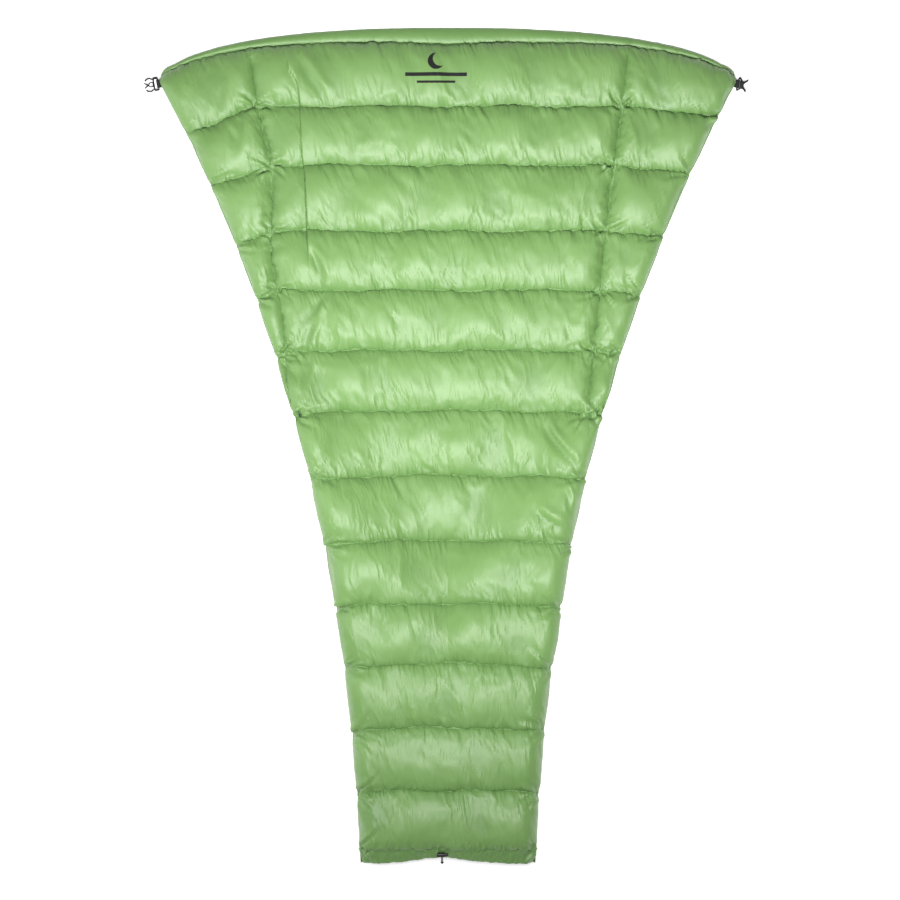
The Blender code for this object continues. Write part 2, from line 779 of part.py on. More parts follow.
def add_foot_hem(name, left, right, height):
    """A tunnel of cloth along the foot edge, folded there and open to the down side."""
    tall = HEM_INSIDE + 2 * FABRIC
    inner = FABRIC
    outline = [(0.0, 0.0), (HEM_DEPTH, 0.0), (HEM_DEPTH, tall), (0.0, tall), (0.0, tall - inner),
               (HEM_DEPTH - inner, tall - inner), (HEM_DEPTH - inner, inner), (0.0, inner)]
    mesh = plate_mesh(name, outline, [], right - left)
    made = add_mesh_object(name, mesh, SHELL_GREEN, 0.35)
    # The section's x runs to the foot, its y runs up, and the cloth runs across the quilt
    turn = Matrix(((0, 0, -1), (-1, 0, 0), (0, 1, 0))).to_4x4()
    start = plan_point((left + right) / 2, LENGTH - HEM_DEPTH, height)
    made.matrix_world = Matrix.Translation(start) @ turn
    return made


foot_edge = outline_offset(FOOT_SEAM_REACH) - CORD_BEND_INSET
top_hem = add_foot_hem("foot_hem_top", -foot_edge, foot_edge, TOP_HEM_HEIGHT)
slot = bmesh.new()
exit_in_hem = EXIT_REACH - LENGTH + HEM_DEPTH
slot_low = (exit_in_hem - EXIT_SLOT_LENGTH / 2, HEM_INSIDE, -CORD_EXIT_OFFSET - EXIT_SLOT_WIDTH / 2)
slot_high = (exit_in_hem + EXIT_SLOT_LENGTH / 2, 2 * HEM_INSIDE, -CORD_EXIT_OFFSET + EXIT_SLOT_WIDTH / 2)
box(slot, slot_low, slot_high)
change_shape(top_hem, slot, "cord_exit_cutter")
add_foot_hem("foot_hem_under_left", -foot_edge, -ZIP_RECESS / 2, 0.0)
add_foot_hem("foot_hem_under_right", ZIP_RECESS / 2, foot_edge, 0.0)

top_cord_height = TOP_HEM_HEIGHT + FABRIC + HEM_INSIDE / 2
under_cord_height = FABRIC + HEM_INSIDE / 2
fold_radius = (top_cord_height - under_cord_height) / 2
fold_steps = 12
for side, side_name in SIDE_NAMES.items():
    strand = CORD_EXIT_OFFSET + side * STRAND_SPACING / 2
    route = [plan_point(side * (ZIP_RECESS / 2 + CORD_END_INSET), CORD_REACH, under_cord_height)]
    for step in range(fold_steps + 1):
        turn = math.pi * (step / fold_steps - 0.5)
        offset = foot_edge + fold_radius * math.cos(turn)
        height = under_cord_height + fold_radius * (1.0 + math.sin(turn))
        route.append(plan_point(side * offset, CORD_REACH, height))
    route += rounded_route([plan_point(side * (foot_edge - CORD_RADIUS), CORD_REACH, top_cord_height),
                            plan_point(strand + side * EXIT_RUN, CORD_REACH, top_cord_height),
                            plan_point(strand, EXIT_REACH, top_cord_height),
                            plan_point(strand, EXIT_REACH, LOCK_HEIGHT),
                            plan_point(strand, LOCK_REACH + CORD_TAIL, LOCK_HEIGHT)], CORD_BEND)
    add_cord(f"foot_drawcord_{side_name}", route, CORD_RADIUS, TRIM_BLACK)


# ---------------------------------------------------------------- cord lock

lock_place = plan_point(CORD_EXIT_OFFSET, LOCK_REACH, LOCK_HEIGHT)
along_x = Matrix.Rotation(math.radians(90), 4, "Y")
bundle = STRAND_SPACING + 2 * CORD_RADIUS
hole_length = bundle + 2 * GAP
hole_height = 2 * CORD_RADIUS + 4 * GAP
plunger_back = -hole_length / 2 - PLUNGER_WALL
barrel_floor = plunger_back - PLUNGER_TRAVEL - SPRING_CLOSED
barrel_back = barrel_floor - LOCK_END_WALL


def turned_body(name, profile, colour):
    """A round body turned about the local X axis, from a profile of (x, radius), closed at its ends."""
    mesh = bmesh.new()
    verts = [mesh.verts.new((x, 0.0, radius)) for x, radius in profile]
    edges = [mesh.edges.new(pair) for pair in zip(verts, verts[1:])]
    bmesh.ops.spin(mesh, geom=verts + edges, cent=(0, 0, 0), axis=(1, 0, 0), angle=2 * math.pi,
                   steps=20, use_merge=False, use_duplicate=False)
    bmesh.ops.remove_doubles(mesh, verts=mesh.verts, dist=2e-5)
    return add_mesh_object(name, mesh, colour, 0.45, smooth_below=math.radians(40))


barrel = turned_body("cord_lock_barrel", [
    (barrel_back, 0.0), (barrel_back, LOCK_RADIUS - BARREL_EDGE), (barrel_back + BARREL_EDGE, LOCK_RADIUS),
    (barrel_back + LOCK_LENGTH, LOCK_RADIUS), (barrel_back + LOCK_LENGTH, LOCK_BORE_RADIUS),
    (barrel_floor, LOCK_BORE_RADIUS), (barrel_floor, 0.0)], TRIM_BLACK)
barrel.location = lock_place
bpy.context.view_layer.update()
hole = bmesh.new()
box(hole, (-hole_length / 2, -THROUGH / 2, -hole_height / 2),
    (hole_length / 2, THROUGH / 2, hole_height / 2))
change_shape(barrel, hole, "barrel_hole_cutter")

# The plunger's hole is longer by its travel, so that the strands stay clear when it is pressed in
plunger_top = plunger_back + PLUNGER_LENGTH
plunger = turned_body("cord_lock_plunger", [
    (plunger_back, 0.0), (plunger_back, PLUNGER_RADIUS - PLUNGER_EDGE),
    (plunger_back + PLUNGER_EDGE, PLUNGER_RADIUS), (plunger_top - PLUNGER_TOP_EDGE, PLUNGER_RADIUS),
    (plunger_top, PLUNGER_RADIUS - PLUNGER_TOP_EDGE), (plunger_top, 0.0)], TRIM_BLACK)
plunger.location = lock_place
bpy.context.view_layer.update()
hole = bmesh.new()
box(hole, (-hole_length / 2, -THROUGH / 2, -hole_height / 2),
    (hole_length / 2 + PLUNGER_TRAVEL, THROUGH / 2, hole_height / 2))
change_shape(plunger, hole, "plunger_hole_cutter")

spring_low = barrel_floor + GAP + SPRING_WIRE_RADIUS
spring_high = plunger_back - GAP - SPRING_WIRE_RADIUS
coil_points = []
coil_steps = SPRING_TURNS * STEPS_A_TURN
for step in range(coil_steps + 1):
    turn = 2 * math.pi * step / STEPS_A_TURN
    coil_points.append(lock_place + Vector((mix(spring_low, spring_high, step / coil_steps),
                                            SPRING_RADIUS * math.cos(turn), SPRING_RADIUS * math.sin(turn))))
spring = add_cord("cord_lock_spring", coil_points, SPRING_WIRE_RADIUS, STEEL)
spring.data.bevel_resolution = 1


# ---------------------------------------------------------------- buckles and their webbing tabs

def buckle_frame(side):
    """Matrix of a buckle: its origin on the webbing bar, its x away from the quilt."""
    line = row_line(0, 0.0, side)
    seat_reach = line(where_line_meets(line, outline_offset))
    seat = plan_point(side * (outline_offset(seat_reach) + FABRIC + 2 * GAP), seat_reach, BUCKLE_HEIGHT)
    heading = BUCKLE_HEADING[side]
    place = Matrix.Translation(seat) @ Matrix.Rotation(heading, 4, "Z")
    return place @ Matrix.Translation((TAB_REACH, 0.0, 0.0))


def looped_strip(name, inner, outer, tail, tail_low, tail_high, width, colour):
    """A strip with a loop round the local Y axis and a tail to local -X, extruded along Y."""
    outline = []
    for step in range(WRAP_STEPS + 1):
        turn = mix(WRAP_ANGLE, -WRAP_ANGLE, step / WRAP_STEPS)
        outline.append((outer * math.cos(turn), outer * math.sin(turn)))
    outline += [(-tail, tail_low), (-tail, tail_high)]
    mesh = plate_mesh(name, outline, [circle(inner)], width)
    bmesh.ops.rotate(mesh, verts=mesh.verts, cent=(0, 0, 0), matrix=Matrix.Rotation(math.radians(90), 3, "X"))
    return add_mesh_object(name, mesh, colour, 0.8, smooth_below=math.radians(40))


for side, side_name in SIDE_NAMES.items():
    tab = looped_strip(f"{side_name}_webbing_tab", RING_INNER, RING_OUTER, TAB_REACH, TAIL_LOW,
                       TAIL_LOW + TAIL_THICKNESS, WEBBING_WIDTH, TRIM_BLACK)
    tab.matrix_world = buckle_frame(side)

# Male half: the webbing frame, then a guide loop whose waist opens into a fork
male_outline = mirrored([
    (BAR_BACK, BUCKLE_HALF - 0.003), (BAR_BACK + 0.002, BUCKLE_HALF), (CROSSBAR - 0.003, BUCKLE_HALF),
    (CROSSBAR, BUCKLE_HALF - 0.002), (CROSSBAR, GUIDE_HALF_WIDTH),
    (CROSSBAR + GUIDE_LENGTH, GUIDE_HALF_WIDTH), (CROSSBAR + WAIST_REACH, WAIST_HALF_WIDTH),
    (CROSSBAR + FORK_REACH, FORK_HALF_WIDTH), (BAR_BACK + MALE_LENGTH, FORK_HALF_WIDTH - 0.002),
    (CROSSBAR + FORK_NOTCH, 0.0)])
male_slot = [(-BAR_BACK, -SLOT_HALF), (CROSSBAR - CROSSBAR_DEPTH, -SLOT_HALF),
             (CROSSBAR - CROSSBAR_DEPTH, SLOT_HALF), (-BAR_BACK, SLOT_HALF)]
guide_inside = GUIDE_HALF_WIDTH - GUIDE_WALL
guide_hole = mirrored([(CROSSBAR + 0.0015, guide_inside), (CROSSBAR + GUIDE_LENGTH - 0.001, guide_inside),
                       (CROSSBAR + WAIST_REACH - 0.0015, 0.0)])
male = add_mesh_object("male_buckle_base", plate_mesh("male", male_outline, [male_slot, guide_hole],
                                                      BUCKLE_THICKNESS), TRIM_BLACK, 0.4)
male.matrix_world = buckle_frame(-1)

# Arms: each bows outward from the crossbar and flexes about its root
root, bow, tip = (Vector((CROSSBAR + ARM_GAP + x, y)) for x, y in (ARM_ROOT, ARM_BOW, ARM_TIP))
for arm_name, hand in (("male_buckle_arm_head", 1), ("male_buckle_arm_foot", -1)):
    left_edge, right_edge = [], []
    for step in range(ARM_STEPS + 1):
        share = step / ARM_STEPS
        centre = root.lerp(bow, share).lerp(bow.lerp(tip, share), share)
        heading = ((bow - root).lerp(tip - bow, share)).normalized() if step else Vector((1.0, 0.0))
        across = Vector((-heading.y, heading.x)) * mix(ARM_ROOT_HALF, ARM_TIP_HALF, share)
        left_edge.append(tuple(centre + across))
        right_edge.append(tuple(centre - across))
    outline = [(x, y * -hand) for x, y in left_edge + right_edge[::-1]]
    arm_mesh = plate_mesh(arm_name, outline, [], BUCKLE_THICKNESS)
    root_place = Vector((root.x + 0.001, -hand * root.y, 0.0))
    bmesh.ops.translate(arm_mesh, verts=arm_mesh.verts, vec=-root_place)
    arm = add_mesh_object(arm_name, arm_mesh, TRIM_BLACK, 0.4)
    arm.matrix_world = buckle_frame(-1) @ Matrix.Translation(root_place)

# Female half: a thin webbing frame joined to a thicker body with a socket in its mouth
female_back = mirrored([(BAR_BACK, 0.0138), (BAR_BACK + 0.0012, BUCKLE_HALF - 0.0004),
                        (BAR_BACK + 0.0052, BUCKLE_HALF), (BAR_BACK + 0.0080, 0.0140),
                        (BAR_BACK + 0.0115, 0.0100), (BAR_BACK + 0.0115, 0.0)])
female_slot = [(-BAR_BACK, -SLOT_HALF), (RING_OUTER + GAP, -SLOT_HALF),
               (RING_OUTER + GAP, SLOT_HALF), (-BAR_BACK, SLOT_HALF)]
female = add_mesh_object("female_buckle", plate_mesh("female", female_back, [female_slot],
                                                     BUCKLE_THICKNESS), TRIM_BLACK, 0.4)
female.matrix_world = buckle_frame(1)
body_back = RING_OUTER + 3 * GAP
female_front = mirrored([(body_back, 0.0), (body_back, 0.0128), (BAR_BACK + 0.0110, 0.0100),
                         (BAR_BACK + 0.0145, 0.0092), (BAR_BACK + 0.0180, 0.0112),
                         (BAR_BACK + 0.0232, 0.0158), (BAR_BACK + FEMALE_LENGTH, 0.0140),
                         (BAR_BACK + 0.0245, 0.0112), (BAR_BACK + 0.0190, 0.0062),
                         (BAR_BACK + 0.0166, 0.0030), (BAR_BACK + 0.0160, 0.0)])
bpy.context.view_layer.update()
change_shape(female, plate_mesh("female_front", female_front, [], FEMALE_THICKNESS), "female_body", "UNION")
socket = bmesh.new()
box(socket, (BAR_BACK + SOCKET_START, -SOCKET_WIDTH / 2, -SOCKET_HEIGHT / 2),
    (BAR_BACK + SOCKET_START + FEMALE_LENGTH, SOCKET_WIDTH / 2, SOCKET_HEIGHT / 2))
change_shape(female, socket, "socket_cutter")


# ---------------------------------------------------------------- back zip

zip_start = plan_point(0.0, ZIP_TOP_REACH, COIL_HEIGHT)
zip_end = plan_point(0.0, FOOT_SEAM_REACH - SEAM_STRIP, COIL_HEIGHT)
tape_inner = COIL_SPACING / 2 + COIL_RADIUS + GAP
for side, side_name in SIDE_NAMES.items():
    shift = Vector((side * COIL_SPACING / 2, 0.0, 0.0))
    add_rod(f"zip_coil_{side_name}", zip_start + shift, zip_end + shift, COIL_RADIUS, TRIM_BLACK, 0.4, 8)
    tape = bmesh.new()
    near, far = sorted((side * tape_inner, side * (ZIP_RECESS / 2 - GAP)))
    box(tape, (CENTRE_X + near, zip_end.y, COIL_HEIGHT - TAPE_THICKNESS / 2),
        (CENTRE_X + far, zip_start.y, COIL_HEIGHT + TAPE_THICKNESS / 2))
    add_mesh_object(f"zip_tape_{side_name}", tape, TRIM_BLACK, 0.8)

# The slider waits at the closed end, with its pull on the face that meets the floor side
plate_inner = COIL_RADIUS + GAP
plate_outer = plate_inner + SLIDER_PLATE
slider_mesh = bmesh.new()
box(slider_mesh, (-SLIDER_WIDTH / 2, -SLIDER_LENGTH / 2, plate_inner),
    (SLIDER_WIDTH / 2, SLIDER_LENGTH / 2, plate_outer))
slider = add_mesh_object("zip_slider", slider_mesh, TRIM_BLACK, 0.35, 0.6)
slider.location = zip_start - Vector((0.0, SLIDER_LENGTH / 2 + SLIDER_SETBACK, 0.0))
bpy.context.view_layer.update()
lower = bmesh.new()
box(lower, (-SLIDER_WIDTH / 2, -SLIDER_LENGTH / 2, -plate_outer),
    (SLIDER_WIDTH / 2, SLIDER_LENGTH / 2, -plate_inner))
bridge = bmesh.new()
bridge_end = SLIDER_LENGTH / 2 - BRIDGE_INSET
box(bridge, (-SLIDER_BRIDGE_WIDTH / 2, bridge_end - BRIDGE_LENGTH, -plate_inner - SLIDER_PLATE / 2),
    (SLIDER_BRIDGE_WIDTH / 2, bridge_end, plate_inner + SLIDER_PLATE / 2))
change_shape(slider, bridge, "slider_bridge", "UNION")
change_shape(slider, lower, "slider_lower_plate", "UNION")
pull_height = -plate_outer - PULL_DROP
ear_inner = PULL_WIDTH / 2 - EAR_INSET
for ear_name, hand in (("slider_ear_left", -1), ("slider_ear_right", 1)):
    ear = bmesh.new()
    near, far = sorted((hand * ear_inner, hand * (ear_inner + EAR_THICKNESS)))
    box(ear, (near, -EAR_HALF_LENGTH, pull_height - EAR_BELOW_BAR),
        (far, EAR_HALF_LENGTH, -plate_inner - SLIDER_PLATE / 2))
    change_shape(slider, ear, ear_name, "UNION")
bar = bmesh.new()
bmesh.ops.create_cone(bar, cap_ends=True, segments=10, radius1=PULL_BAR_RADIUS, radius2=PULL_BAR_RADIUS,
                      depth=2 * ear_inner + EAR_THICKNESS,
                      matrix=Matrix.Translation((0, 0, pull_height)) @ along_x)
change_shape(slider, bar, "slider_pull_bar", "UNION")

pull_bore = PULL_BAR_RADIUS + GAP
pull = looped_strip("zip_pull", pull_bore, pull_bore + PULL_WALL, PULL_LENGTH, -PULL_THICKNESS / 2,
                    PULL_THICKNESS / 2, 2 * (ear_inner - GAP), STEEL)
pull_turn = Matrix.Rotation(math.radians(90), 4, "Z") @ Matrix.Rotation(-PULL_REST_TILT, 4, "Y")
pull.matrix_world = Matrix.Translation(slider.location + Vector((0.0, 0.0, pull_height))) @ pull_turn
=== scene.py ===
import json
import math

import bmesh
import bpy
import numpy as np
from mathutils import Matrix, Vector


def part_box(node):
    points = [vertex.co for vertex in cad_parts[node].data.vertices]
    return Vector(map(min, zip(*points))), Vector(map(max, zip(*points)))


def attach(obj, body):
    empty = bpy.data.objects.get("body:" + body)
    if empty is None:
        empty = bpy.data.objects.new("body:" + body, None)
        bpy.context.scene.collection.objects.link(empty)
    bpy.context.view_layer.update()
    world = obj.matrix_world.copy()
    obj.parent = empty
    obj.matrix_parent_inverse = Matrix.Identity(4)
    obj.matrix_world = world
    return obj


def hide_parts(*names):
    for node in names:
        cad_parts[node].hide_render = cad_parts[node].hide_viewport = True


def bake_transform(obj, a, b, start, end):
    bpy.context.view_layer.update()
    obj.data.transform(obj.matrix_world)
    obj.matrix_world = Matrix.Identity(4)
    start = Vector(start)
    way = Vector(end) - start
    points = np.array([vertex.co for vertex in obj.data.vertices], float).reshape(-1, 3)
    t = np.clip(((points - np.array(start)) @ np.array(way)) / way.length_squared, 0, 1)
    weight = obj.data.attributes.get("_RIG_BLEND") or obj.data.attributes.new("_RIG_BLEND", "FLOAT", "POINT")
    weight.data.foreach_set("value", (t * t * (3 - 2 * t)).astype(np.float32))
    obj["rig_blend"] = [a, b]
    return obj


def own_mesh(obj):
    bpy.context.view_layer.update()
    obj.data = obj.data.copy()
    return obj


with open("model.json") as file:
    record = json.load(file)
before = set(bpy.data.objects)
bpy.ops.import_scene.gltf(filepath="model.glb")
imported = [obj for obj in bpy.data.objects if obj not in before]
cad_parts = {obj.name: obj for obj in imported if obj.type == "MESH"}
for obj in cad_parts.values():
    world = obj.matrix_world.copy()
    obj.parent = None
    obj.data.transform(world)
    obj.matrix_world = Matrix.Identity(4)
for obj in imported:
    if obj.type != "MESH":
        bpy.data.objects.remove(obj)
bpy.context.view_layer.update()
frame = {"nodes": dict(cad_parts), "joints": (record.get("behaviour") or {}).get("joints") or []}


# ------------------------------------------------------------------ camera, floor and light
# The quilt lies on a plain pale floor and is seen from straight above through a long lens. Two soft
# boxes hang over its lower middle, one turned to the head, so that the upper rows shine on their lower
# halves and the lower rows on their upper halves.

def linear(code):
    """A colour given as an sRGB hex value, as linear RGBA."""
    parts = [int(code[at:at + 2], 16) / 255 for at in (1, 3, 5)]
    return (*[c / 12.92 if c <= 0.04045 else ((c + 0.055) / 1.055) ** 2.4 for c in parts], 1.0)


def set_sockets(tree, node, **sockets):
    """Set a node's sockets or link them, each given by its name, with _ for a space, or as in_0."""
    for name, value in sockets.items():
        socket = node.inputs[int(name[3:]) if name.startswith("in_") else name.replace("_", " ")]
        if isinstance(value, bpy.types.NodeSocket):
            tree.links.new(value, socket)
        else:
            socket.default_value = value


def add_node(tree, kind, settings=None, **sockets):
    """Add a shader or geometry node with its settings and sockets."""
    made = tree.nodes.new(kind)
    for name, value in (settings or {}).items():
        setattr(made, name, value)
    set_sockets(tree, made, **sockets)
    return made


def pattern(tree, kind, settings=None, **sockets):
    """The strength of a texture that is laid over a piece in metres."""
    place = add_node(tree, "ShaderNodeTexCoord").outputs["Object"]
    return add_node(tree, f"ShaderNodeTex{kind}", settings, Vector=place, **sockets).outputs["Fac"]


def tones(tree, share, first, second):
    """A mix of two colours by a share, each a hex value or another node's colour."""
    first, second = [linear(tone) if isinstance(tone, str) else tone for tone in (first, second)]
    mixed = add_node(tree, "ShaderNodeMix", {"data_type": "RGBA"}, in_0=share, in_6=first, in_7=second)
    return mixed.outputs[2]


def calculate(tree, operation, *values):
    """The result of a math node."""
    sockets = {f"in_{index}": value for index, value in enumerate(values)}
    return add_node(tree, "ShaderNodeMath", {"operation": operation}, **sockets).outputs[0]


def bumped(tree, height, strength, distance, **sockets):
    """The normals of a surface that a height raises by a distance."""
    return add_node(tree, "ShaderNodeBump", Strength=strength, Distance=distance, Height=height,
                    **sockets).outputs["Normal"]


def new_object(name, data):
    """An object in the scene that shows a mesh, a curve, a camera or a light."""
    made = bpy.data.objects.new(name, data)
    bpy.context.scene.collection.objects.link(made)
    return made


def new_material(name):
    """A node material whose tree is empty but for its output, with its shader for the caller to set."""
    made = bpy.data.materials.new(name)
    made.use_nodes = True
    tree = made.node_tree
    return made, tree, tree.nodes["Principled BSDF"]


def area_light(name, place, target, width, height, power):
    """A soft box at a place, turned to a target, which the camera doesn't see."""
    data = bpy.data.lights.new(name, "AREA")
    data.shape, data.size, data.size_y, data.energy = "RECTANGLE", width, height, power
    made = new_object(name, data)
    made.location = place
    made.rotation_euler = (Vector(target) - Vector(place)).to_track_quat("-Z", "Y").to_euler()
    made.visible_camera = False
    return made


VIEW_WIDTH = 2.161
LENS, SENSOR = 135.0, 36.0
VIEW_CENTRE = (0.0103, -0.0132)

camera_data = bpy.data.cameras.new("overhead_camera")
camera_data.lens, camera_data.sensor_width = LENS, SENSOR
camera_data.clip_end = 50.0
camera = new_object("overhead_camera", camera_data)
camera.location = (*VIEW_CENTRE, VIEW_WIDTH * LENS / SENSOR)
bpy.context.scene.camera = camera
bpy.context.scene.view_settings.view_transform = "Standard"

area_light("soft_box_over_middle", (0.0, -0.40, 2.2), (0.0, -0.75, 0.0), 1.1, 0.6, 37.0)
to_head = area_light("soft_box_towards_head", (0.0, -0.30, 2.2), (0.0, 1.50, 0.0), 1.3, 0.6, 28.0)
to_head.data.spread = math.radians(115.0)
area_light("soft_strip_from_left", (-2.5, 0.1, 1.3), (0.0, 0.1, 0.0), 0.8, 1.6, 20.0)

world = bpy.data.worlds.new("studio")
world.use_nodes = True
set_sockets(world.node_tree, world.node_tree.nodes["Background"], Color=(1.0, 1.0, 1.0, 1.0), Strength=0.17)
bpy.context.scene.world = world

# Painted studio floor: pale, matte and slightly mottled
floor_material, tree, shader = new_material("matte_white_studio_floor")
mottle = pattern(tree, "Noise", Scale=3.0, Detail=3.0)
set_sockets(tree, shader, Base_Color=tones(tree, mottle, "#F6F6F5", "#FCFCFC"), Roughness=0.9,
            Emission_Color=(1.0, 1.0, 1.0, 1.0), Emission_Strength=0.65)

floor_mesh = bpy.data.meshes.new("studio_floor")
work = bmesh.new()
bmesh.ops.create_grid(work, x_segments=2, y_segments=2, size=12.0)
work.to_mesh(floor_mesh)
work.free()
floor_mesh.materials.append(floor_material)
floor = new_object("studio_floor", floor_mesh)


# ------------------------------------------------------------------ drawcord
# A thin braided polyester cord runs through the foot hem. Its two strands come out of the hem beside
# each other, pass through the cord lock and end in one knot.

CORD_DIAMETER = 0.0022
STRAND_HALF_GAP = 0.00135
lock_low, lock_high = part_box("cord_lock_barrel")
hem_low, hem_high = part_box("foot_hem_top")
barrel_middle = (lock_low + lock_high) / 2
STRAND_X = -0.0085
TAIL_END_Y = -0.9950

cord_material, tree, shader = new_material("braided_black_polyester_cord")
# Braid: light catches each crossing strand on a dull black yarn, drawn 1.7 mm apart to show
braid = pattern(tree, "Wave", {"bands_direction": "DIAGONAL"}, Scale=260.0, Distortion=1.0)
set_sockets(tree, shader, Base_Color=tones(tree, braid, "#0C0C0E", "#242426"), Roughness=0.7,
            Normal=bumped(tree, braid, 0.6, 0.0003))


def round_cord(name, points, radius, material):
    """A round cord on one smooth open curve through points."""
    curve = bpy.data.curves.new(name, "CURVE")
    curve.dimensions = "3D"
    curve.bevel_depth, curve.bevel_resolution, curve.use_fill_caps = radius, 3, True
    spline = curve.splines.new("POLY")
    spline.points.add(len(points) - 1)
    for knot, point in zip(spline.points, points):
        knot.co = (*point, 1.0)
    curve.materials.append(material)
    return new_object(name, curve)


def smooth_route(corners, steps=6):
    """Points on a smooth curve through corners (Catmull-Rom)."""
    knots = [Vector(c) for c in corners]
    ends = [2 * knots[0] - knots[1]] + knots + [2 * knots[-1] - knots[-2]]
    route = []
    for a, b, c, d in zip(ends, ends[1:], ends[2:], ends[3:]):
        for step in range(steps):
            t = step / steps
            route.append(0.5 * ((2 * b) + (c - a) * t + (2 * a - 5 * b + 4 * c - d) * t * t
                                + (3 * b - a - 3 * c + d) * t ** 3))
    return route + [knots[-1]]


KNOT_SIZE = 0.00125
knot_points = []
for step in range(49):
    turn = 2 * math.pi * step / 48
    knot_points.append((STRAND_X + KNOT_SIZE * (math.sin(turn) + 2 * math.sin(2 * turn)),
                        TAIL_END_Y - 0.0010 + 0.6 * KNOT_SIZE * (math.cos(turn) - 2 * math.cos(2 * turn)),
                        barrel_middle.z + KNOT_SIZE * -math.sin(3 * turn)))
knot = round_cord("drawcord_knot", knot_points, CORD_DIAMETER / 2 * 0.8, cord_material)
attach(knot, "quilt")

for side, name in ((-1, "left"), (1, "right")):
    x = STRAND_X + side * STRAND_HALF_GAP
    route = smooth_route([
        (x + side * 0.016, -0.9815, 0.0572), (x + side * 0.0105, -0.9780, 0.0572),
        (x + side * 0.0045, -0.9725, 0.0573), (x + side * 0.0008, -0.9682, 0.0582), (x, -0.9660, 0.0612),
        (x, -0.9668, 0.0650), (x, -0.9700, 0.0663), (x, -0.9772, 0.0663), (x, -0.9860, 0.0663),
        (x, TAIL_END_Y, 0.0663)])
    length = sum((b - a).length for a, b in zip(route, route[1:]))
    strand = round_cord(f"drawcord_strand_{name}", route, CORD_DIAMETER / 2, cord_material)
    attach(strand, "quilt")
    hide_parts(f"foot_drawcord_{name}")


# ------------------------------------------------------------------ outer shell
# Glossy down-proof nylon, sewn down in thirteen cross rows over down, with a long seam at each side
# panel and a narrow elastic band along the head. Each row swells between its seams, and the thread
# gathers the cloth at every seam into short puckers.

head_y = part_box("outer_shell_center")[1].y
foot_y = hem_low.y
LENGTH = head_y - foot_y
CENTRE_X = (hem_low.x + hem_high.x) / 2
HEAD_WIDTH, FOOT_WIDTH = 1.378, 0.417
TAPER_POWER, TAPER_STRAIGHT_SHARE = 2.35, 0.22
HEAD_CORNER_DROP, HEAD_ARCH_POWER = 0.130, 2.4
ROW_COUNT = 13
HEAD_BAND, HEAD_BAND_AT_CORNER, FOOT_BAND = 0.041, 0.012, 0.036
ROW_PITCH = (LENGTH - HEAD_BAND - FOOT_BAND) / ROW_COUNT
WING_ROWS = 5
WING_END = HEAD_BAND + WING_ROWS * ROW_PITCH
FLAP_START = WING_END + 0.0894
ZIP_TOP = HEAD_BAND + 9 * ROW_PITCH
LOFT_TOP, SEAM_TOP, HEM_TOP = 0.0405, 0.0185, 0.0080
CEILING = 0.052
FLAP_LIFT_RUN = 0.250
SIDE_MIDDLE = 0.044
HEAD_EDGE_HEIGHT, HEAD_SEAM_HEIGHT, BAND_LOFT, BAND_RISE = 0.0026, 0.0062, 0.0065, 0.0036
FOOT_EDGE_HEIGHT, FOOT_LOFT = 0.0035, 0.0034
SCALLOP, FOOT_CORNER = 0.0028, 0.013
SIDE_SEAM_WIDTH = 0.014
ROW_WANDER = (0.0, 0.001, -0.006, 0.004, -0.002, -0.006, -0.009, -0.002, 0.005, 0.007, 0.002, 0.006,
              0.007, 0.0, 0.0)
SEAM_NAMES = {-1: "left", 1: "right"}
WING_WIDTH_HEAD = {-1: 0.206, 1: 0.250}
WING_WIDTH_LOW = {-1: 0.0171, 1: 0.0501}
SEAM_LOW_REACH = WING_END + 0.0594
SEAM_WAVES = {-1: ((-0.018, 0.33, 0.11), (0.008, 0.58, 0.08)), 1: ((-0.007, 0.52, 0.28),)}
WING_DROOP = {-1: 0.38, 1: 0.10}
SWAYS = ((0.0022, 21.0, 1.7), (0.0014, 47.0, 2.9))
LOW_ROW_SAG = 0.011
FOOT_DIP, FOOT_DIP_OFFSET, FOOT_DIP_WIDTH = 0.016, -0.014, 0.085
COLUMNS, BAND_STEPS, ROW_STEPS, FOOT_STEPS = 721, 8, 25, 12
rng = np.random.default_rng(13)


def eased(value):
    """Run smoothly from 0 to 1 while the value does."""
    value = np.clip(value, 0.0, 1.0)
    return value * value * (3.0 - 2.0 * value)


def mix(first, second, share):
    """Blend two values."""
    return first + (second - first) * share


def half_width(reach):
    """Half the quilt's width at a distance from the head edge."""
    left = np.clip(1.0 - np.maximum(0.0, reach - HEAD_CORNER_DROP) / (LENGTH - HEAD_CORNER_DROP), 0.0, 1.0)
    share = (1.0 - TAPER_STRAIGHT_SHARE) * left ** TAPER_POWER + TAPER_STRAIGHT_SHARE * left
    return mix(FOOT_WIDTH, HEAD_WIDTH, share) / 2


def side_seam(side, reach):
    """Offset of a long side seam from the centreline, with the slight wave that it is sewn in."""
    at_head = HEAD_WIDTH / 2 - WING_WIDTH_HEAD[side]
    at_low_end = half_width(SEAM_LOW_REACH) - WING_WIDTH_LOW[side]
    straight = mix(at_head, at_low_end, reach / SEAM_LOW_REACH)
    for size, at, width in SEAM_WAVES[side]:
        straight = straight + size * np.exp(-((reach - at) / width) ** 2)
    return straight


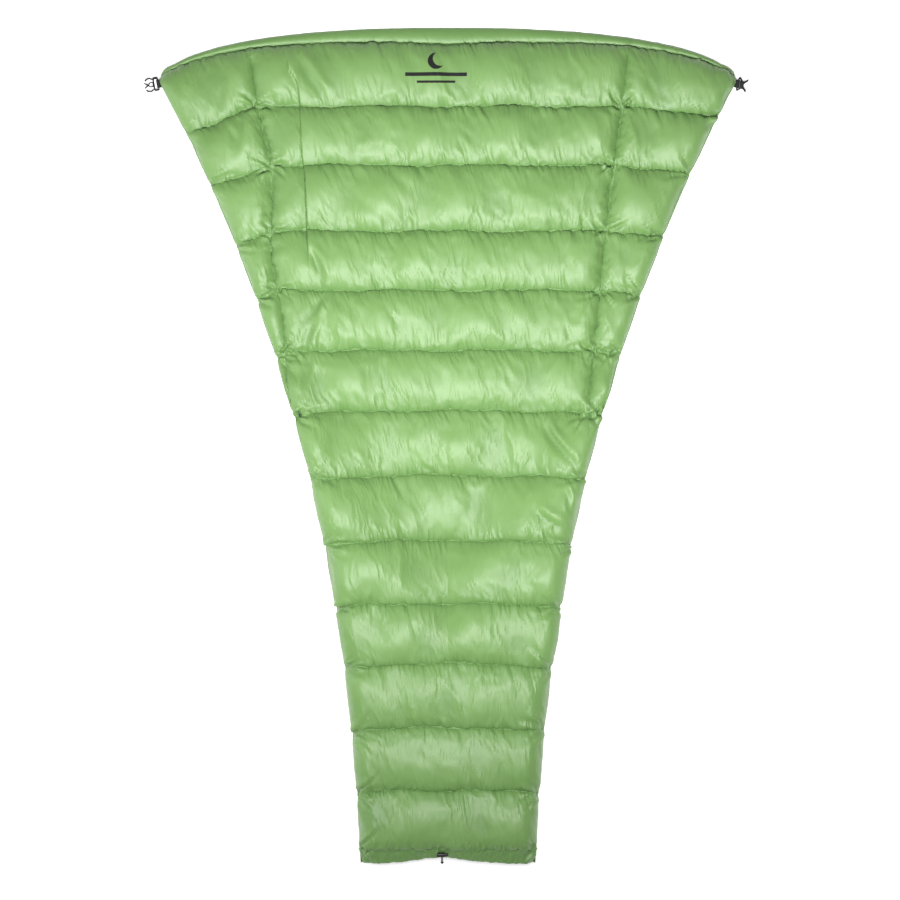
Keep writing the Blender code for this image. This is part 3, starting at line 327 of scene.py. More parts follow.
def seam_reach(index, offset):
    """Distance from the head of a cross line: -1 is the head edge, 0 to 13 are seams, 14 the foot edge."""
    sway = sum(size * np.sin(offset * rate + index * shift) for size, rate, shift in SWAYS)
    share = np.minimum(np.abs(offset) / (HEAD_WIDTH / 2), 1.0)
    edge = HEAD_CORNER_DROP * (1.0 - np.sqrt(1.0 - share ** HEAD_ARCH_POWER))
    head_seam = edge + mix(HEAD_BAND, HEAD_BAND_AT_CORNER, share)
    reach = HEAD_BAND + index * ROW_PITCH + np.take(ROW_WANDER, np.clip(index, 0, ROW_COUNT + 1))
    half = half_width(reach)
    for side in (-1, 1):
        beyond = np.maximum(0.0, side * offset - side_seam(side, reach))
        reach = reach + WING_DROOP[side] * beyond * (index <= WING_ROWS)
    sag = LOW_ROW_SAG * (np.minimum(np.abs(offset) / half, 1.0)) ** 3 * eased((index - 4) / 3)
    reach = reach + (sag + sway) * (index < ROW_COUNT)
    foot = LENGTH - FOOT_DIP * np.exp(-(np.abs(offset - FOOT_DIP_OFFSET) / FOOT_DIP_WIDTH) ** 1.5)
    reach = np.where(index > ROW_COUNT, foot, reach)
    return np.where(index < 0, edge, np.where(index == 0, head_seam, reach))


def reach_of(line, offset):
    """Distance from the head at a fractional cross line."""
    index = np.clip(np.floor(line + 1e-9), -1, ROW_COUNT).astype(int)
    return mix(seam_reach(index, offset), seam_reach(index + 1, offset), line - index)


def cross_lines(band_steps, row_steps, foot_steps, first=-1):
    """Cross lines of a cloth grid: even in the bands, and closer together near the row seams."""
    shares = np.linspace(0.0, 1.0, row_steps + 1)[:-1]
    shares = shares - 0.55 * np.sin(2 * np.pi * shares) / (2 * np.pi)
    made = [np.linspace(-1.0, 0.0, band_steps + 1)[:-1]] + [row + shares for row in range(ROW_COUNT)]
    made = np.concatenate(made + [np.linspace(ROW_COUNT, ROW_COUNT + 1, foot_steps + 1)])
    return made[made > first - 1e-6]


def settle(line_grid, share_of_width):
    """Distance from the head and half width where a cross line meets a share of the width."""
    reach = HEAD_BAND + line_grid * ROW_PITCH
    for _ in range(14):
        reach = reach_of(line_grid, share_of_width * half_width(reach))
    return reach, half_width(reach)


def row_crown(line_grid):
    """Share of the way across a row, and how far the row swells there, 0 at seams to 1 in the middle."""
    share = line_grid - np.clip(np.floor(line_grid + 1e-9), -1, ROW_COUNT - 1)
    return share, np.clip(4.0 * share * (1.0 - share), 0.0, 1.0)


lines = cross_lines(BAND_STEPS, ROW_STEPS, FOOT_STEPS)
line_grid, across = np.meshgrid(lines, np.linspace(-1.0, 1.0, COLUMNS), indexing="ij")
reach, half = settle(line_grid, across)
offset = across * half
row_share, crown = row_crown(line_grid)
in_head_band = line_grid < -1e-9
in_foot_band = line_grid > ROW_COUNT + 1e-9
in_band = in_head_band | in_foot_band


def lift_of(reach, offset):
    """How far the top layer is lifted off the floor by the flaps that are folded under it, 0 to 1."""
    rise = eased((reach - WING_END) / (FLAP_START - WING_END))
    flap_edge = half_width(FLAP_START) * (1.0 - (reach - FLAP_START) / (ZIP_TOP - FLAP_START))
    return rise * eased(0.5 + (np.abs(offset) - flap_edge) / FLAP_LIFT_RUN)


def side_shape(reach):
    """Height of the widest line of a side, and the run of the rounding above it."""
    lifted = eased((reach - WING_END) / (FLAP_START + 0.05 - WING_END))
    return mix(HEM_TOP, SIDE_MIDDLE, lifted), mix(0.034, 0.042, lifted)


def top_height(reach, offset, line_grid, crown):
    """Height of the shell over the fill, before the sides turn down and the side seams pull it in."""
    lifted = CEILING * lift_of(reach, offset)
    first_row = np.clip(line_grid, 0.0, 1.0)
    at_seams = np.where(line_grid < 1.0, mix(HEAD_SEAM_HEIGHT, SEAM_TOP, first_row), SEAM_TOP)
    settled = mix(at_seams, LOFT_TOP, crown ** 0.62)
    across_band = np.clip(line_grid + 1.0, 0.0, 1.0)
    band = HEAD_EDGE_HEIGHT + BAND_LOFT * np.sin(np.pi * across_band) ** 0.7 + BAND_RISE * across_band
    down_foot = np.clip(line_grid - ROW_COUNT, 0.0, 1.0)
    foot = FOOT_EDGE_HEIGHT + (SEAM_TOP - FOOT_EDGE_HEIGHT) * (1.0 - down_foot) ** 1.3
    foot = foot + FOOT_LOFT * np.sqrt(np.clip(1.0 - (2.0 * down_foot - 1.0) ** 4, 0.0, 1.0))
    return lifted + np.where(line_grid < 0, band, np.where(line_grid > ROW_COUNT, foot, settled))


def pull_in(height, reach, offset, line_grid):
    """Lower the shell along the two long side seams."""
    depth = eased((1.02 - reach) / 0.22) * eased((line_grid + 0.25) / 0.5)
    for side in (-1, 1):
        distance = np.abs(side * offset - side_seam(side, reach))
        base = np.minimum(SEAM_TOP + CEILING * lift_of(reach, offset), height)
        height = height - depth * (height - base) * np.exp(-(distance / SIDE_SEAM_WIDTH) ** 1.1)
    return height


top = pull_in(top_height(reach, offset, line_grid, crown), reach, offset, line_grid)
middle, run = side_shape(reach)
middle = np.minimum(middle, 0.6 * top)
scallop = SCALLOP * (1.0 - crown) * (~in_band) * eased((reach - 0.20) / 0.1) * eased((12.6 - line_grid) / 0.4)
past_corner = np.clip((line_grid - ROW_COUNT - 0.55) / 0.45, 0.0, 1.0)
scallop = scallop + FOOT_CORNER * (1.0 - np.sqrt(1.0 - past_corner ** 2))
inset = half - np.abs(offset)
turn = np.clip(1.0 - inset / run, 0.0, 1.0) * np.pi / 2
wide = half - scallop * np.clip(1.0 - inset / 0.10, 0.0, 1.0)
side_x = np.where(turn > 0, wide - run + run * np.sin(turn),
                  np.abs(offset) - (half - wide) * np.clip(1.0 - inset / 0.10, 0, 1))
height = middle + (top - middle) * np.cos(turn)
shell = np.stack([CENTRE_X + np.sign(offset) * side_x, head_y - reach, height], axis=-1)


def normals_of(points):
    """Unit normals of a grid of points, rows running to the foot and columns to the right."""
    down = np.gradient(points, axis=0)
    right = np.gradient(points, axis=1)
    made = np.cross(down, right)
    return made / np.maximum(np.linalg.norm(made, axis=-1, keepdims=True), 1e-12)


relief = np.zeros_like(reach)
plan_x, plan_y = shell[..., 0] - CENTRE_X, reach
row_low, row_high = plan_y.min(axis=1), plan_y.max(axis=1)


def crease(start, end, depth, width, bend=0.0, both_ends=False, ridge=0.7):
    """Press a valley with a ridge beside it along a bent stroke, from (offset, reach) to (offset, reach)."""
    start, end = np.array(start), np.array(end)
    length = np.linalg.norm(end - start)
    along = (end - start) / length
    low, high = min(start[1], end[1]) - 4 * width, max(start[1], end[1]) + 4 * width
    rows = np.flatnonzero((row_high >= low) & (row_low <= high))
    if not len(rows):
        return
    rows = slice(rows[0], rows[-1] + 1)
    dx, dy = plan_x[rows] - start[0], plan_y[rows] - start[1]
    a = (dx * along[0] + dy * along[1]) / length
    c = dx * along[1] - dy * along[0] - bend * 4 * a * (1 - a) * length
    if both_ends:
        fade = eased(a / 0.3) * eased((1 - a) / 0.5)
    else:
        fade = eased(a / 0.08 + 0.5) * eased((1 - a) / 0.8)
    fade = fade * (a > -0.1) * (a < 1.0)
    shape = -np.exp(-(c / width) ** 2) + ridge * np.exp(-((c - 1.6 * width) / (1.1 * width)) ** 2)
    relief[rows] += depth * fade * shape


SEAM_START, SEAM_SPAN = -0.75, 2.9


def knots_table(spacing, low, high):
    """Random values at uneven knots, read as a smooth curve at every millimetre of a seam."""
    steps = rng.uniform(0.65, 1.45, int(SEAM_SPAN / spacing) + 4) * spacing
    knots = SEAM_START + np.cumsum(steps)
    values = rng.uniform(low, high, len(knots))
    fine = SEAM_START + np.arange(int(SEAM_SPAN * 1000)) * 0.001
    made = np.interp(fine, knots, values)
    kernel = np.hanning(max(3, int(spacing * 450)) | 1)
    return fine, np.convolve(made, kernel / kernel.sum(), mode="same")


def puckers(along, away, spacing, length, depth, lean):
    """Relief of gathers beside a seam: along it and away from it in metres."""
    fine, wave = knots_table(spacing, -1.0, 1.0)
    wave = wave / max(np.abs(wave).max(), 1e-9)
    _, reach_out = knots_table(spacing * 2.5, 0.35, 1.5)
    _, strength = knots_table(0.05, 0.3, 1.25)
    at = along - lean * away
    size = length * np.interp(along, fine, reach_out)
    fold = np.interp(at, fine, wave)
    fold = 1.1 * np.sqrt(np.abs(fold)) - 0.45
    return depth * np.interp(along, fine, strength) * fold * np.exp(-(away / size) ** 1.3)


def cloud(x, y, size):
    """Smooth random values between 0 and 1 over the cloth, with features of one size."""
    across, down = x / size + 40.0, y / size + 40.0
    lattice = rng.uniform(0.0, 1.0, (int(down.max()) + 3, int(across.max()) + 3))
    column, row = np.floor(across).astype(int), np.floor(down).astype(int)
    s, t = eased(across - column), eased(down - row)
    upper = mix(lattice[row, column], lattice[row, column + 1], s)
    lower = mix(lattice[row + 1, column], lattice[row + 1, column + 1], s)
    return mix(upper, lower, t)


# Thin cloth crumples all over: sharp small ridges that run mostly down the rows, lower on the crowns
bend_x = 0.030 * (cloud(plan_x, plan_y, 0.060) - 0.5) + 0.012 * (cloud(plan_x, plan_y, 0.022) - 0.5)
bend_y = 0.040 * (cloud(plan_x, plan_y, 0.080) - 0.5)
CRUMPLES = ((0.058, 0.0034), (0.030, 0.0032), (0.016, 0.0026), (0.0085, 0.0015))
for size, depth in CRUMPLES:
    folds = 1.0 - np.abs(2.0 * cloud(plan_x + bend_x - 0.25 * plan_y, 0.50 * (plan_y + bend_y), size) - 1.0)
    spread = 0.35 + 0.65 * cloud(plan_x, plan_y, 0.11)
    near = mix(1.25, 0.62, crown) if size < 0.04 else mix(0.6, 1.0, crown)
    relief += depth * (folds ** 1.6 - 0.45) * spread * near * np.where(in_band, 0.4, 1.0)

# Gathers along both sides of every cross seam; those below a seam lean to the right. Each kind has
# its spacing, its length away from the seam, its depth and its lean.
GATHERS_BELOW = ((0.0095, 0.015, 0.0052, 0.0), (0.024, 0.034, 0.0062, 0.2))
GATHERS_ABOVE = ((0.0095, 0.012, 0.0046, -0.2), (0.028, 0.030, 0.0054, -0.3))
for index in range(0, ROW_COUNT + 1):
    here = seam_reach(np.array(index), offset)
    band = np.flatnonzero(np.abs(lines - index) < 1.0)
    rows = slice(band[0], band[-1] + 1)
    away = reach[rows] - here[rows]
    below, above = np.clip(away, 0, None), np.clip(-away, 0, None)
    lean = 0.35 if index < 8 else 0.1
    at = plan_x[rows]
    strength = 0.7 if index == 0 else 1.0
    relief[rows] += (away >= 0) * sum(puckers(at, below, spacing, length, depth * strength, lean + more)
                                      for spacing, length, depth, more in GATHERS_BELOW)
    relief[rows] += (away < 0) * sum(puckers(at, above, spacing, length, depth * strength, tilt)
                                     for spacing, length, depth, tilt in GATHERS_ABOVE)

# The drawcord bunches the foot hem, most of all where the tunnel is sewn down
bunched = np.exp(-((reach - seam_reach(np.array(ROW_COUNT), offset) - 0.004) / 0.016) ** 2)
bunched = np.maximum(bunched, 0.55 * in_foot_band)
HEM_BUNCHES = ((0.013, 0.0060), (0.0070, 0.0040))
for size, depth in HEM_BUNCHES:
    folds = 1.0 - np.abs(2.0 * cloud(plan_x + 0.3 * plan_y, 0.7 * plan_y, size) - 1.0)
    relief += depth * (folds ** 1.4 - 0.5) * bunched

# Gathers along the long side seams
for side in (-1, 1):
    away = side * offset - side_seam(side, reach)
    fade = eased((1.0 - reach) / 0.1) * (~in_band)
    relief += fade * (away >= 0) * puckers(reach, np.clip(away, 0, None), 0.0105, 0.018, 0.0075, 0.5)
    relief += fade * (away < 0) * puckers(reach, np.clip(-away, 0, None), 0.0115, 0.022, 0.0080, -0.4)

# Folds fan out from the ends of each cross seam, where it is pulled into the side
for index in range(1, ROW_COUNT + 1):
    for side in (-1, 1):
        ends = [half_width(HEAD_BAND + index * ROW_PITCH) - 0.004]
        if index <= WING_ROWS + 1:
            ends += [side_seam(side, HEAD_BAND + index * ROW_PITCH) + shift for shift in (-0.006, 0.006)]
        for which, end in enumerate(ends):
            inward = 1 if which == 2 else -1
            count = 7 if which == 0 else 4
            at = float(seam_reach(np.array(index), np.array(side * end)))
            for _ in range(count):
                tilt = rng.uniform(-0.95, 0.95)
                length = rng.uniform(0.030, 0.095) * (1.0 if which == 0 else 0.7)
                start = (side * end, at + rng.uniform(-0.010, 0.010))
                stop = (start[0] + side * inward * length * math.cos(tilt),
                        start[1] + length * math.sin(tilt))
                crease(start, stop, rng.uniform(0.0020, 0.0050), rng.uniform(0.0030, 0.0060),
                       rng.uniform(-0.12, 0.12))

# Soft folds that run down and to the right across the rows, and creases left by packing
for _ in range(75):
    line = rng.uniform(0.1, 12.6)
    at = rng.uniform(-0.9, 0.9) * float(half_width(HEAD_BAND + line * ROW_PITCH))
    start = (at, HEAD_BAND + line * ROW_PITCH)
    heading = rng.uniform(0.6, 1.5) * (1 if rng.uniform() < 0.75 else -1)
    length = rng.uniform(0.04, 0.10)
    crease(start, (at + length * math.cos(heading), start[1] + length * abs(math.sin(heading))),
           rng.uniform(0.0008, 0.0022), rng.uniform(0.006, 0.013), rng.uniform(-0.1, 0.1), both_ends=True)

# The large creases: a lapped fold down the left of the middle, and others at the sides
LARGE_CREASES = (
    ((-0.341, 0.520), (-0.303, 0.640), 0.0050, 0.0060, 0.1),
    ((-0.367, 0.055), (-0.274, 0.190), 0.0050, 0.0070, -0.05),
    ((-0.302, 0.636), (-0.365, 0.725), 0.0050, 0.0050, 0.1),
    ((-0.302, 0.677), (-0.343, 0.821), 0.0045, 0.0055, -0.1),
    ((-0.330, 0.760), (-0.360, 0.905), 0.0035, 0.0050, 0.05),
    ((0.224, 0.920), (0.334, 1.062), 0.0055, 0.0055, -0.12),
    ((0.205, 0.925), (0.300, 1.020), 0.0028, 0.0060, -0.1),
    ((0.199, 1.149), (0.304, 1.205), 0.0045, 0.0055, -0.08),
    ((0.262, 1.080), (0.290, 1.170), 0.0030, 0.0045, 0.1),
    ((-0.500, 0.190), (-0.520, 0.330), 0.0035, 0.0070, 0.05),
    ((-0.160, 0.330), (-0.080, 0.420), 0.0024, 0.0080, 0.1),
    ((0.060, 0.180), (0.110, 0.230), 0.0020, 0.0080, 0.1),
    ((-0.230, 0.405), (-0.110, 0.520), 0.0022, 0.0090, 0.1),
)
CREASE_DEEPER, CREASE_WIDER = 1.35, 1.7
for start, stop, depth, width, bend in LARGE_CREASES:
    crease(start, stop, CREASE_DEEPER * depth, CREASE_WIDER * width, bend, both_ends=True, ridge=0.9)

# The lapped fold: the middle's cloth lies over a sunken strip along the left side panel
LAP_ROUTE = ((0.040, -0.392), (0.100, -0.382), (0.135, -0.360), (0.190, -0.355), (0.310, -0.350),
             (0.360, -0.342), (0.510, -0.337), (0.600, -0.331))
past_lap = plan_x - np.interp(plan_y, [place[0] for place in LAP_ROUTE], [place[1] for place in LAP_ROUTE])
lap_fade = eased((plan_y - 0.045) / 0.05) * eased((0.60 - plan_y) / 0.10)
lap_top = 0.0075 * np.exp(-np.clip(past_lap, 0, None) / 0.030) * np.tanh(past_lap / 0.002)
sunken = -0.0095 * np.exp(np.clip(past_lap, None, 0) / 0.020)
lapped = np.where(past_lap > 0, lap_top, sunken)
relief += lap_fade * lapped * (0.55 + 0.45 * eased((plan_y - 0.30) / 0.08))

# The fill shifts inside each row, so no two rows swell alike
swell = np.zeros_like(reach)
for row in range(ROW_COUNT):
    rows = slice(BAND_STEPS + row * ROW_STEPS, BAND_STEPS + (row + 1) * ROW_STEPS + 1)
    for _ in range(9):
        wave = rng.uniform(0.07, 0.26)
        heading = rng.uniform(-0.6, 0.6)
        phase = rng.uniform(0, 2 * np.pi)
        swell[rows] += wave * np.sin(2 * np.pi * (plan_x[rows] * math.cos(heading)
                                                  + plan_y[rows] * math.sin(heading)) / wave + phase)
SWELL = 0.0085
relief += SWELL * swell * crown ** 0.8 * (~in_band)

shell_normals = normals_of(shell)
RELIEF_LIMIT = 0.0085
relief = RELIEF_LIMIT * np.tanh(relief / RELIEF_LIMIT) * np.minimum(1.0, 0.25 + inset / 0.012)
relief = np.maximum(relief, -0.0035 - 0.004 * np.clip(inset / 0.04, 0.0, 1.0))
quiet = np.where(in_head_band, 0.5, np.where(in_foot_band, 0.6, 1.0))
shell = shell + shell_normals * (relief * quiet)[..., None]
shell[..., 2] = np.maximum(shell[..., 2], 0.0022)


def grid_quads(rows, columns, flip=False):
    """Corner numbers of the quads of a grid, facing up unless flipped."""
    index = np.arange(rows * columns).reshape(rows, columns)
    quads = np.stack([index[:-1, :-1], index[1:, :-1], index[1:, 1:], index[:-1, 1:]], axis=-1).reshape(-1, 4)
    return quads[:, ::-1] if flip else quads


def mesh_piece(name, points, quads, material, normals=None, plan=None, values=None):
    """One mesh object from points and quads, leaving out points that no quad uses."""
    used, corners = np.unique(quads.ravel(), return_inverse=True)
    mesh = bpy.data.meshes.new(name)
    mesh.vertices.add(len(used))
    mesh.vertices.foreach_set("co", points[used].astype(np.float32).ravel())
    mesh.loops.add(len(corners))
    mesh.loops.foreach_set("vertex_index", corners.astype(np.int32))
    mesh.polygons.add(len(quads))
    mesh.polygons.foreach_set("loop_start", np.arange(0, len(corners), 4, dtype=np.int32))
    mesh.update(calc_edges=True)
    mesh.validate()
    mesh.shade_smooth()
    if plan is not None:
        layer = mesh.uv_layers.new(name="plan")
        layer.data.foreach_set("uv", plan[used][corners].astype(np.float32).ravel())
    for key, array in (values or {}).items():
        attribute = mesh.attributes.new(key, "FLOAT", "POINT")
        attribute.data.foreach_set("value", array[used].astype(np.float32))
    if normals is not None:
        mesh.normals_split_custom_set_from_vertices(normals[used].tolist())
    mesh.materials.append(material)
    return new_object(name, mesh)


joints = {joint["name"]: joint for joint in frame["joints"]}
FOLD_RUN = 0.030
FOLD_ZONE = 0.045
RUN_OUT = 0.110


def fold_line(side):
    """A point on a side panel's fold line, and the direction away from the quilt's middle."""
    joint = joints[f"{SEAM_NAMES[side]}_wing_fold"]
    axis = Vector(joint["axis"])
    out = Vector((axis.y, -axis.x, 0.0)).normalized()
    if out.x * side < 0:
        out = -out
    return Vector(joint["pos_m"]), out


def fold_distance(points, side):
    """How far points lie outside a fold line."""
    place, out = fold_line(side)
    return (points[:, 0] - place.x) * out.x + (points[:, 1] - place.y) * out.y


def turn_with_wing(piece, side):
    """Let a piece bend about a side panel's fold line, and let the fold run out below the panel."""
    place, out = fold_line(side)
    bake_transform(piece, "quilt", f"{SEAM_NAMES[side]}_wing", start=place - out * FOLD_RUN,
             end=place + out * FOLD_RUN)
    count = len(piece.data.vertices)
    places, weights = np.zeros(count * 3, np.float32), np.zeros(count, np.float32)
    piece.data.vertices.foreach_get("co", places)
    share = piece.data.attributes["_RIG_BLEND"]
    share.data.foreach_get("value", weights)
    weights *= eased((places[1::3] - (place.y - RUN_OUT)) / RUN_OUT)
    share.data.foreach_set("value", weights.astype(np.float32))


def share_out(name, points, quads, material, **extra):
    """Split a cloth into the quilt's middle and its two side panels, and let each one move."""
    middle_points = points[quads].mean(axis=1)
    zone = np.zeros(len(quads), int)
    for side in (-1, 1):
        place, _ = fold_line(side)
        outside = fold_distance(middle_points, side) > -FOLD_ZONE
        zone[outside & (middle_points[:, 1] > place.y - RUN_OUT)] = side
    made = {}
    for side in (-1, 0, 1):
        if not (zone == side).any():
            continue
        label = f"{name}_{SEAM_NAMES.get(side, 'middle')}"
        made[side] = mesh_piece(label, points, quads[zone == side], material, **extra)
        if side:
            turn_with_wing(made[side], side)
        else:
            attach(made[side], "quilt")
    return made


# Down-proof nylon: a tight plain weave with a calendered, glossy face. It shines softly and broadly,
# creases finely near the seams, and shows the printed mark as matt black ink on the top row.
shell_material, tree, shader = new_material("calendered_green_down_proof_nylon")
plan = add_node(tree, "ShaderNodeUVMap", {"uv_map": "plan"})
gathers_and_painted_shade = add_node(tree, "ShaderNodeAttribute", {"attribute_name": "gathers_and_painted_shade"})
patches = add_node(tree, "ShaderNodeTexNoise", Vector=plan.outputs["UV"], Scale=9.0, Detail=3.0)
dye = tones(tree, patches.outputs["Fac"], "#6E9551", "#7CA35F")
# Painted shade: the dye is darkened towards a deep green near the seams, in sunken creases, on the hems and
# over the foot hem, where shade would fall.
shaded = tones(tree, calculate(tree, "MULTIPLY", gathers_and_painted_shade.outputs["Fac"], 0.34), dye, "#426C35")

# The mark: a crescent moon over two plain bars, each with its reach and half its width and height
MARK_OFFSET, MOON_REACH, MOON_RADIUS = -0.0285, 0.0830, 0.0200
moon = add_node(tree, "ShaderNodeVectorMath", {"operation": "DISTANCE"}, in_0=plan.outputs["UV"],
                in_1=(MARK_OFFSET, MOON_REACH, 0.0))
bite = add_node(tree, "ShaderNodeVectorMath", {"operation": "DISTANCE"}, in_0=plan.outputs["UV"],
                in_1=(MARK_OFFSET + 0.0095, MOON_REACH - 0.0050, 0.0))
in_moon = calculate(tree, "LESS_THAN", moon.outputs["Value"], MOON_RADIUS)
off_bite = calculate(tree, "GREATER_THAN", bite.outputs["Value"], 0.86 * MOON_RADIUS)
mark = calculate(tree, "MULTIPLY", in_moon, off_bite)
plan_parts = add_node(tree, "ShaderNodeSeparateXYZ", Vector=plan.outputs["UV"])
for bar_reach, bar_half_width, bar_half_height in ((0.1150, 0.074, 0.0045), (0.1330, 0.046, 0.0028)):
    in_width = calculate(tree, "COMPARE", plan_parts.outputs["X"], MARK_OFFSET, bar_half_width)
    in_height = calculate(tree, "COMPARE", plan_parts.outputs["Y"], bar_reach, bar_half_height)
    mark = calculate(tree, "MAXIMUM", mark, calculate(tree, "MULTIPLY", in_width, in_height))

# Wrinkles of 5 to 15 mm, deeper beside the seams; the weave, 0.1 mm, is drawn at 1.2 mm to show
down_the_row = add_node(tree, "ShaderNodeMapping", Vector=plan.outputs["UV"], Scale=(1.0, 0.42, 1.0),
                        Rotation=(0.0, 0.0, -0.22))
fine_wrinkles = add_node(tree, "ShaderNodeTexNoise", {"noise_type": "RIDGED_MULTIFRACTAL"},
                         Vector=down_the_row.outputs["Vector"], Scale=62.0, Detail=2.5, Roughness=0.5,
                         Distortion=0.5)
wrinkle_size = calculate(tree, "MULTIPLY_ADD", gathers_and_painted_shade.outputs["Fac"], 0.60, 0.16)
wrinkle_height = calculate(tree, "MULTIPLY", fine_wrinkles.outputs["Fac"], wrinkle_size)
weave = add_node(tree, "ShaderNodeTexWave", {"bands_direction": "X"}, Vector=plan.outputs["UV"], Scale=260.0)
cloth_normal = bumped(tree, weave.outputs["Fac"], 0.25, 0.00008,
                      Normal=bumped(tree, wrinkle_height, 0.75, 0.0024))
set_sockets(tree, shader, Base_Color=tones(tree, mark, shaded, "#060706"),
            Roughness=calculate(tree, "MULTIPLY_ADD", mark, 0.33, 0.47), Normal=cloth_normal,
            Specular_IOR_Level=0.55, Sheen_Weight=0.08)

shell_points = shell.reshape(-1, 3)
seam_distance = np.minimum(row_share, 1.0 - row_share) * ROW_PITCH
seam_distance = np.where(in_band, 0.008, seam_distance)
for side in (-1, 1):
    aside = np.abs(side * offset - side_seam(side, reach)) + 0.2 * eased((reach - 0.95) / 0.1)
    seam_distance = np.minimum(seam_distance, aside)
seam_distance = np.minimum(seam_distance, inset)
# Seam gathers and painted shade in one value: near a seam or deep in a sunken crease it darkens the shell's
# colour as shade and deepens its fine wrinkles; the head band takes a share of it, the foot hem 0.85.
gathers_and_painted_shade_values = np.maximum(np.exp(-(seam_distance / 0.018)), np.clip(-relief / 0.009, 0.0, 0.8))
gathers_and_painted_shade_values = np.where(in_foot_band, 0.85, gathers_and_painted_shade_values).ravel()
shell_plan = np.stack([plan_x, plan_y], axis=-1).reshape(-1, 2)
shell_quads = grid_quads(*reach.shape)
quad_line = line_grid.ravel()[shell_quads].mean(axis=1)
shell_extra = {"normals": normals_of(shell).reshape(-1, 3), "plan": shell_plan,
               "values": {"gathers_and_painted_shade": gathers_and_painted_shade_values}}
rows_only = (quad_line > 0) & (quad_line < ROW_COUNT)
shells = share_out("shell", shell_points, shell_quads[rows_only], shell_material, **shell_extra)
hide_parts("outer_shell_center", *[f"down_chamber_{row:02d}" for row in range(1, ROW_COUNT + 1)],
            "left_side_fold", "right_side_fold", "left_side_seam", "right_side_seam")
for side in (-1, 1):
    name = SEAM_NAMES[side]
    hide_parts(f"{name}_wing_shell", f"{name}_wing_down")


# ------------------------------------------------------------------ head band
# A narrow band of the shell cloth, folded over a flat elastic and sewn down along the head edge. The
# elastic draws the head in a little, so the band is gathered.

head_bands = share_out("head_band", shell_points, shell_quads[quad_line < 0], shell_material, **shell_extra)

elastic_material, tree, shader = new_material("knitted_white_elastic")
# Knitted elastic: ribs 1.5 mm apart over a soft matt yarn
ribs = pattern(tree, "Wave", {"bands_direction": "Y"}, Scale=210.0)
set_sockets(tree, shader, Base_Color=tones(tree, ribs, "#D8D8D2", "#F0F0EC"), Roughness=0.85,
            Normal=bumped(tree, ribs, 0.5, 0.0002))


def dress(name, material):
    """Give a node of the frame its finish."""
    slots = frame["nodes"][name].material_slots
    if slots:
        for slot in slots:
            slot.material = material
    else:
        frame["nodes"][name].data.materials.append(material)


dress("neck_elastic", elastic_material)


# ------------------------------------------------------------------ lining
# Plain dark grey nylon with a soft face, quilted to the shell through every cross seam. It lies flat
# where the quilt rests on it, lifts a little at the seams, and meets the shell at the hems.

LINING_LIFT = 0.0050
LINING_FLOOR = 0.0012
INSIDE_MARGIN = 0.019
LINING_CEILING = 0.043
lining_lines = cross_lines(4, 10, 5)
lining_grid, lining_across = np.meshgrid(lining_lines, np.linspace(-1.0, 1.0, 241), indexing="ij")
lining_reach, lining_half = settle(lining_grid, lining_across)
lining_offset = lining_across * lining_half
_, lining_crown = row_crown(lining_grid)
lifted_share = lift_of(lining_reach, lining_half)
in_rows = (lining_grid > 0) & (lining_grid < ROW_COUNT)
flat = LINING_FLOOR + LINING_LIFT * (1.0 - lining_crown) ** 2 * in_rows
flat = flat + LINING_CEILING * lift_of(lining_reach, lining_offset)
lining_middle, lining_run = side_shape(lining_reach)
lining_middle = np.where(lining_grid < 0, 0.4 * lining_middle, lining_middle)
lining_middle = np.minimum(lining_middle, mix(flat + 0.0012, lining_middle, eased((lining_grid + 1.0) / 1.2)))
lining_width = lining_half - INSIDE_MARGIN * lifted_share - 0.0015
lining_inset = lining_half - np.abs(lining_offset)
lining_turn = np.clip(1.0 - lining_inset / lining_run, 0.0, 1.0) * np.pi / 2
lining_x = np.minimum(np.abs(lining_offset), lining_width - lining_run + lining_run * np.sin(lining_turn))
lining_z = lining_middle + (flat - lining_middle) * np.cos(lining_turn)
lining = np.stack([CENTRE_X + np.sign(lining_offset) * lining_x, head_y - lining_reach, lining_z], axis=-1)

lining_material, tree, shader = new_material("soft_dark_grey_lining_nylon")
# Light 20-denier taffeta: dull, finely wrinkled, with a weave drawn at 1.5 mm to show. The wrinkles' noise
# also darkens the colour in their hollows, as painted shade.
wrinkles = pattern(tree, "Noise", Scale=45.0, Detail=4.0, Distortion=0.8)
weave = pattern(tree, "Wave", {"bands_direction": "X"}, Scale=210.0)
set_sockets(tree, shader, Base_Color=tones(tree, wrinkles, "#3B4144", "#555C60"), Roughness=0.52,
            Normal=bumped(tree, weave, 0.3, 0.0001, Normal=bumped(tree, wrinkles, 0.7, 0.0025)))

lining_quads = grid_quads(*lining_grid.shape, flip=True)
linings = share_out("lining", lining.reshape(-1, 3), lining_quads, lining_material,
                    normals=-normals_of(lining).reshape(-1, 3))
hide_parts("lining_center", "lining_footbox")
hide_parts("left_wing_lining")
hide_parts("right_wing_lining")


# ------------------------------------------------------------------ under layer of the footbox
# The two lower sides of the quilt are folded under and meet at the zip down the middle. Each is shell
# cloth towards the floor and lining above, filled with down and sewn in the same rows.

ZIP_SLOT = 0.0140
UNDER_TOP, UNDER_SEAM, UNDER_HEM = 0.0300, 0.0200, 0.0058
UNDER_FLOOR, UNDER_SEAM_LIFT, UNDER_RIPPLE, UNDER_SCALLOP = 0.0014, 0.0075, 0.0016, 0.0045
FLAP_EDGE_LIFT, FLAP_EDGE_TOP = 0.0070, 0.0085
first_line = (FLAP_START - HEAD_BAND) / ROW_PITCH
under_lines = cross_lines(4, 14, 8, first=first_line)
under_across = np.concatenate([1.0 - np.cos(np.linspace(0, np.pi / 2, 25)[:-1]),
                               np.linspace(1.0, 6.0, 62)]) / 6.0


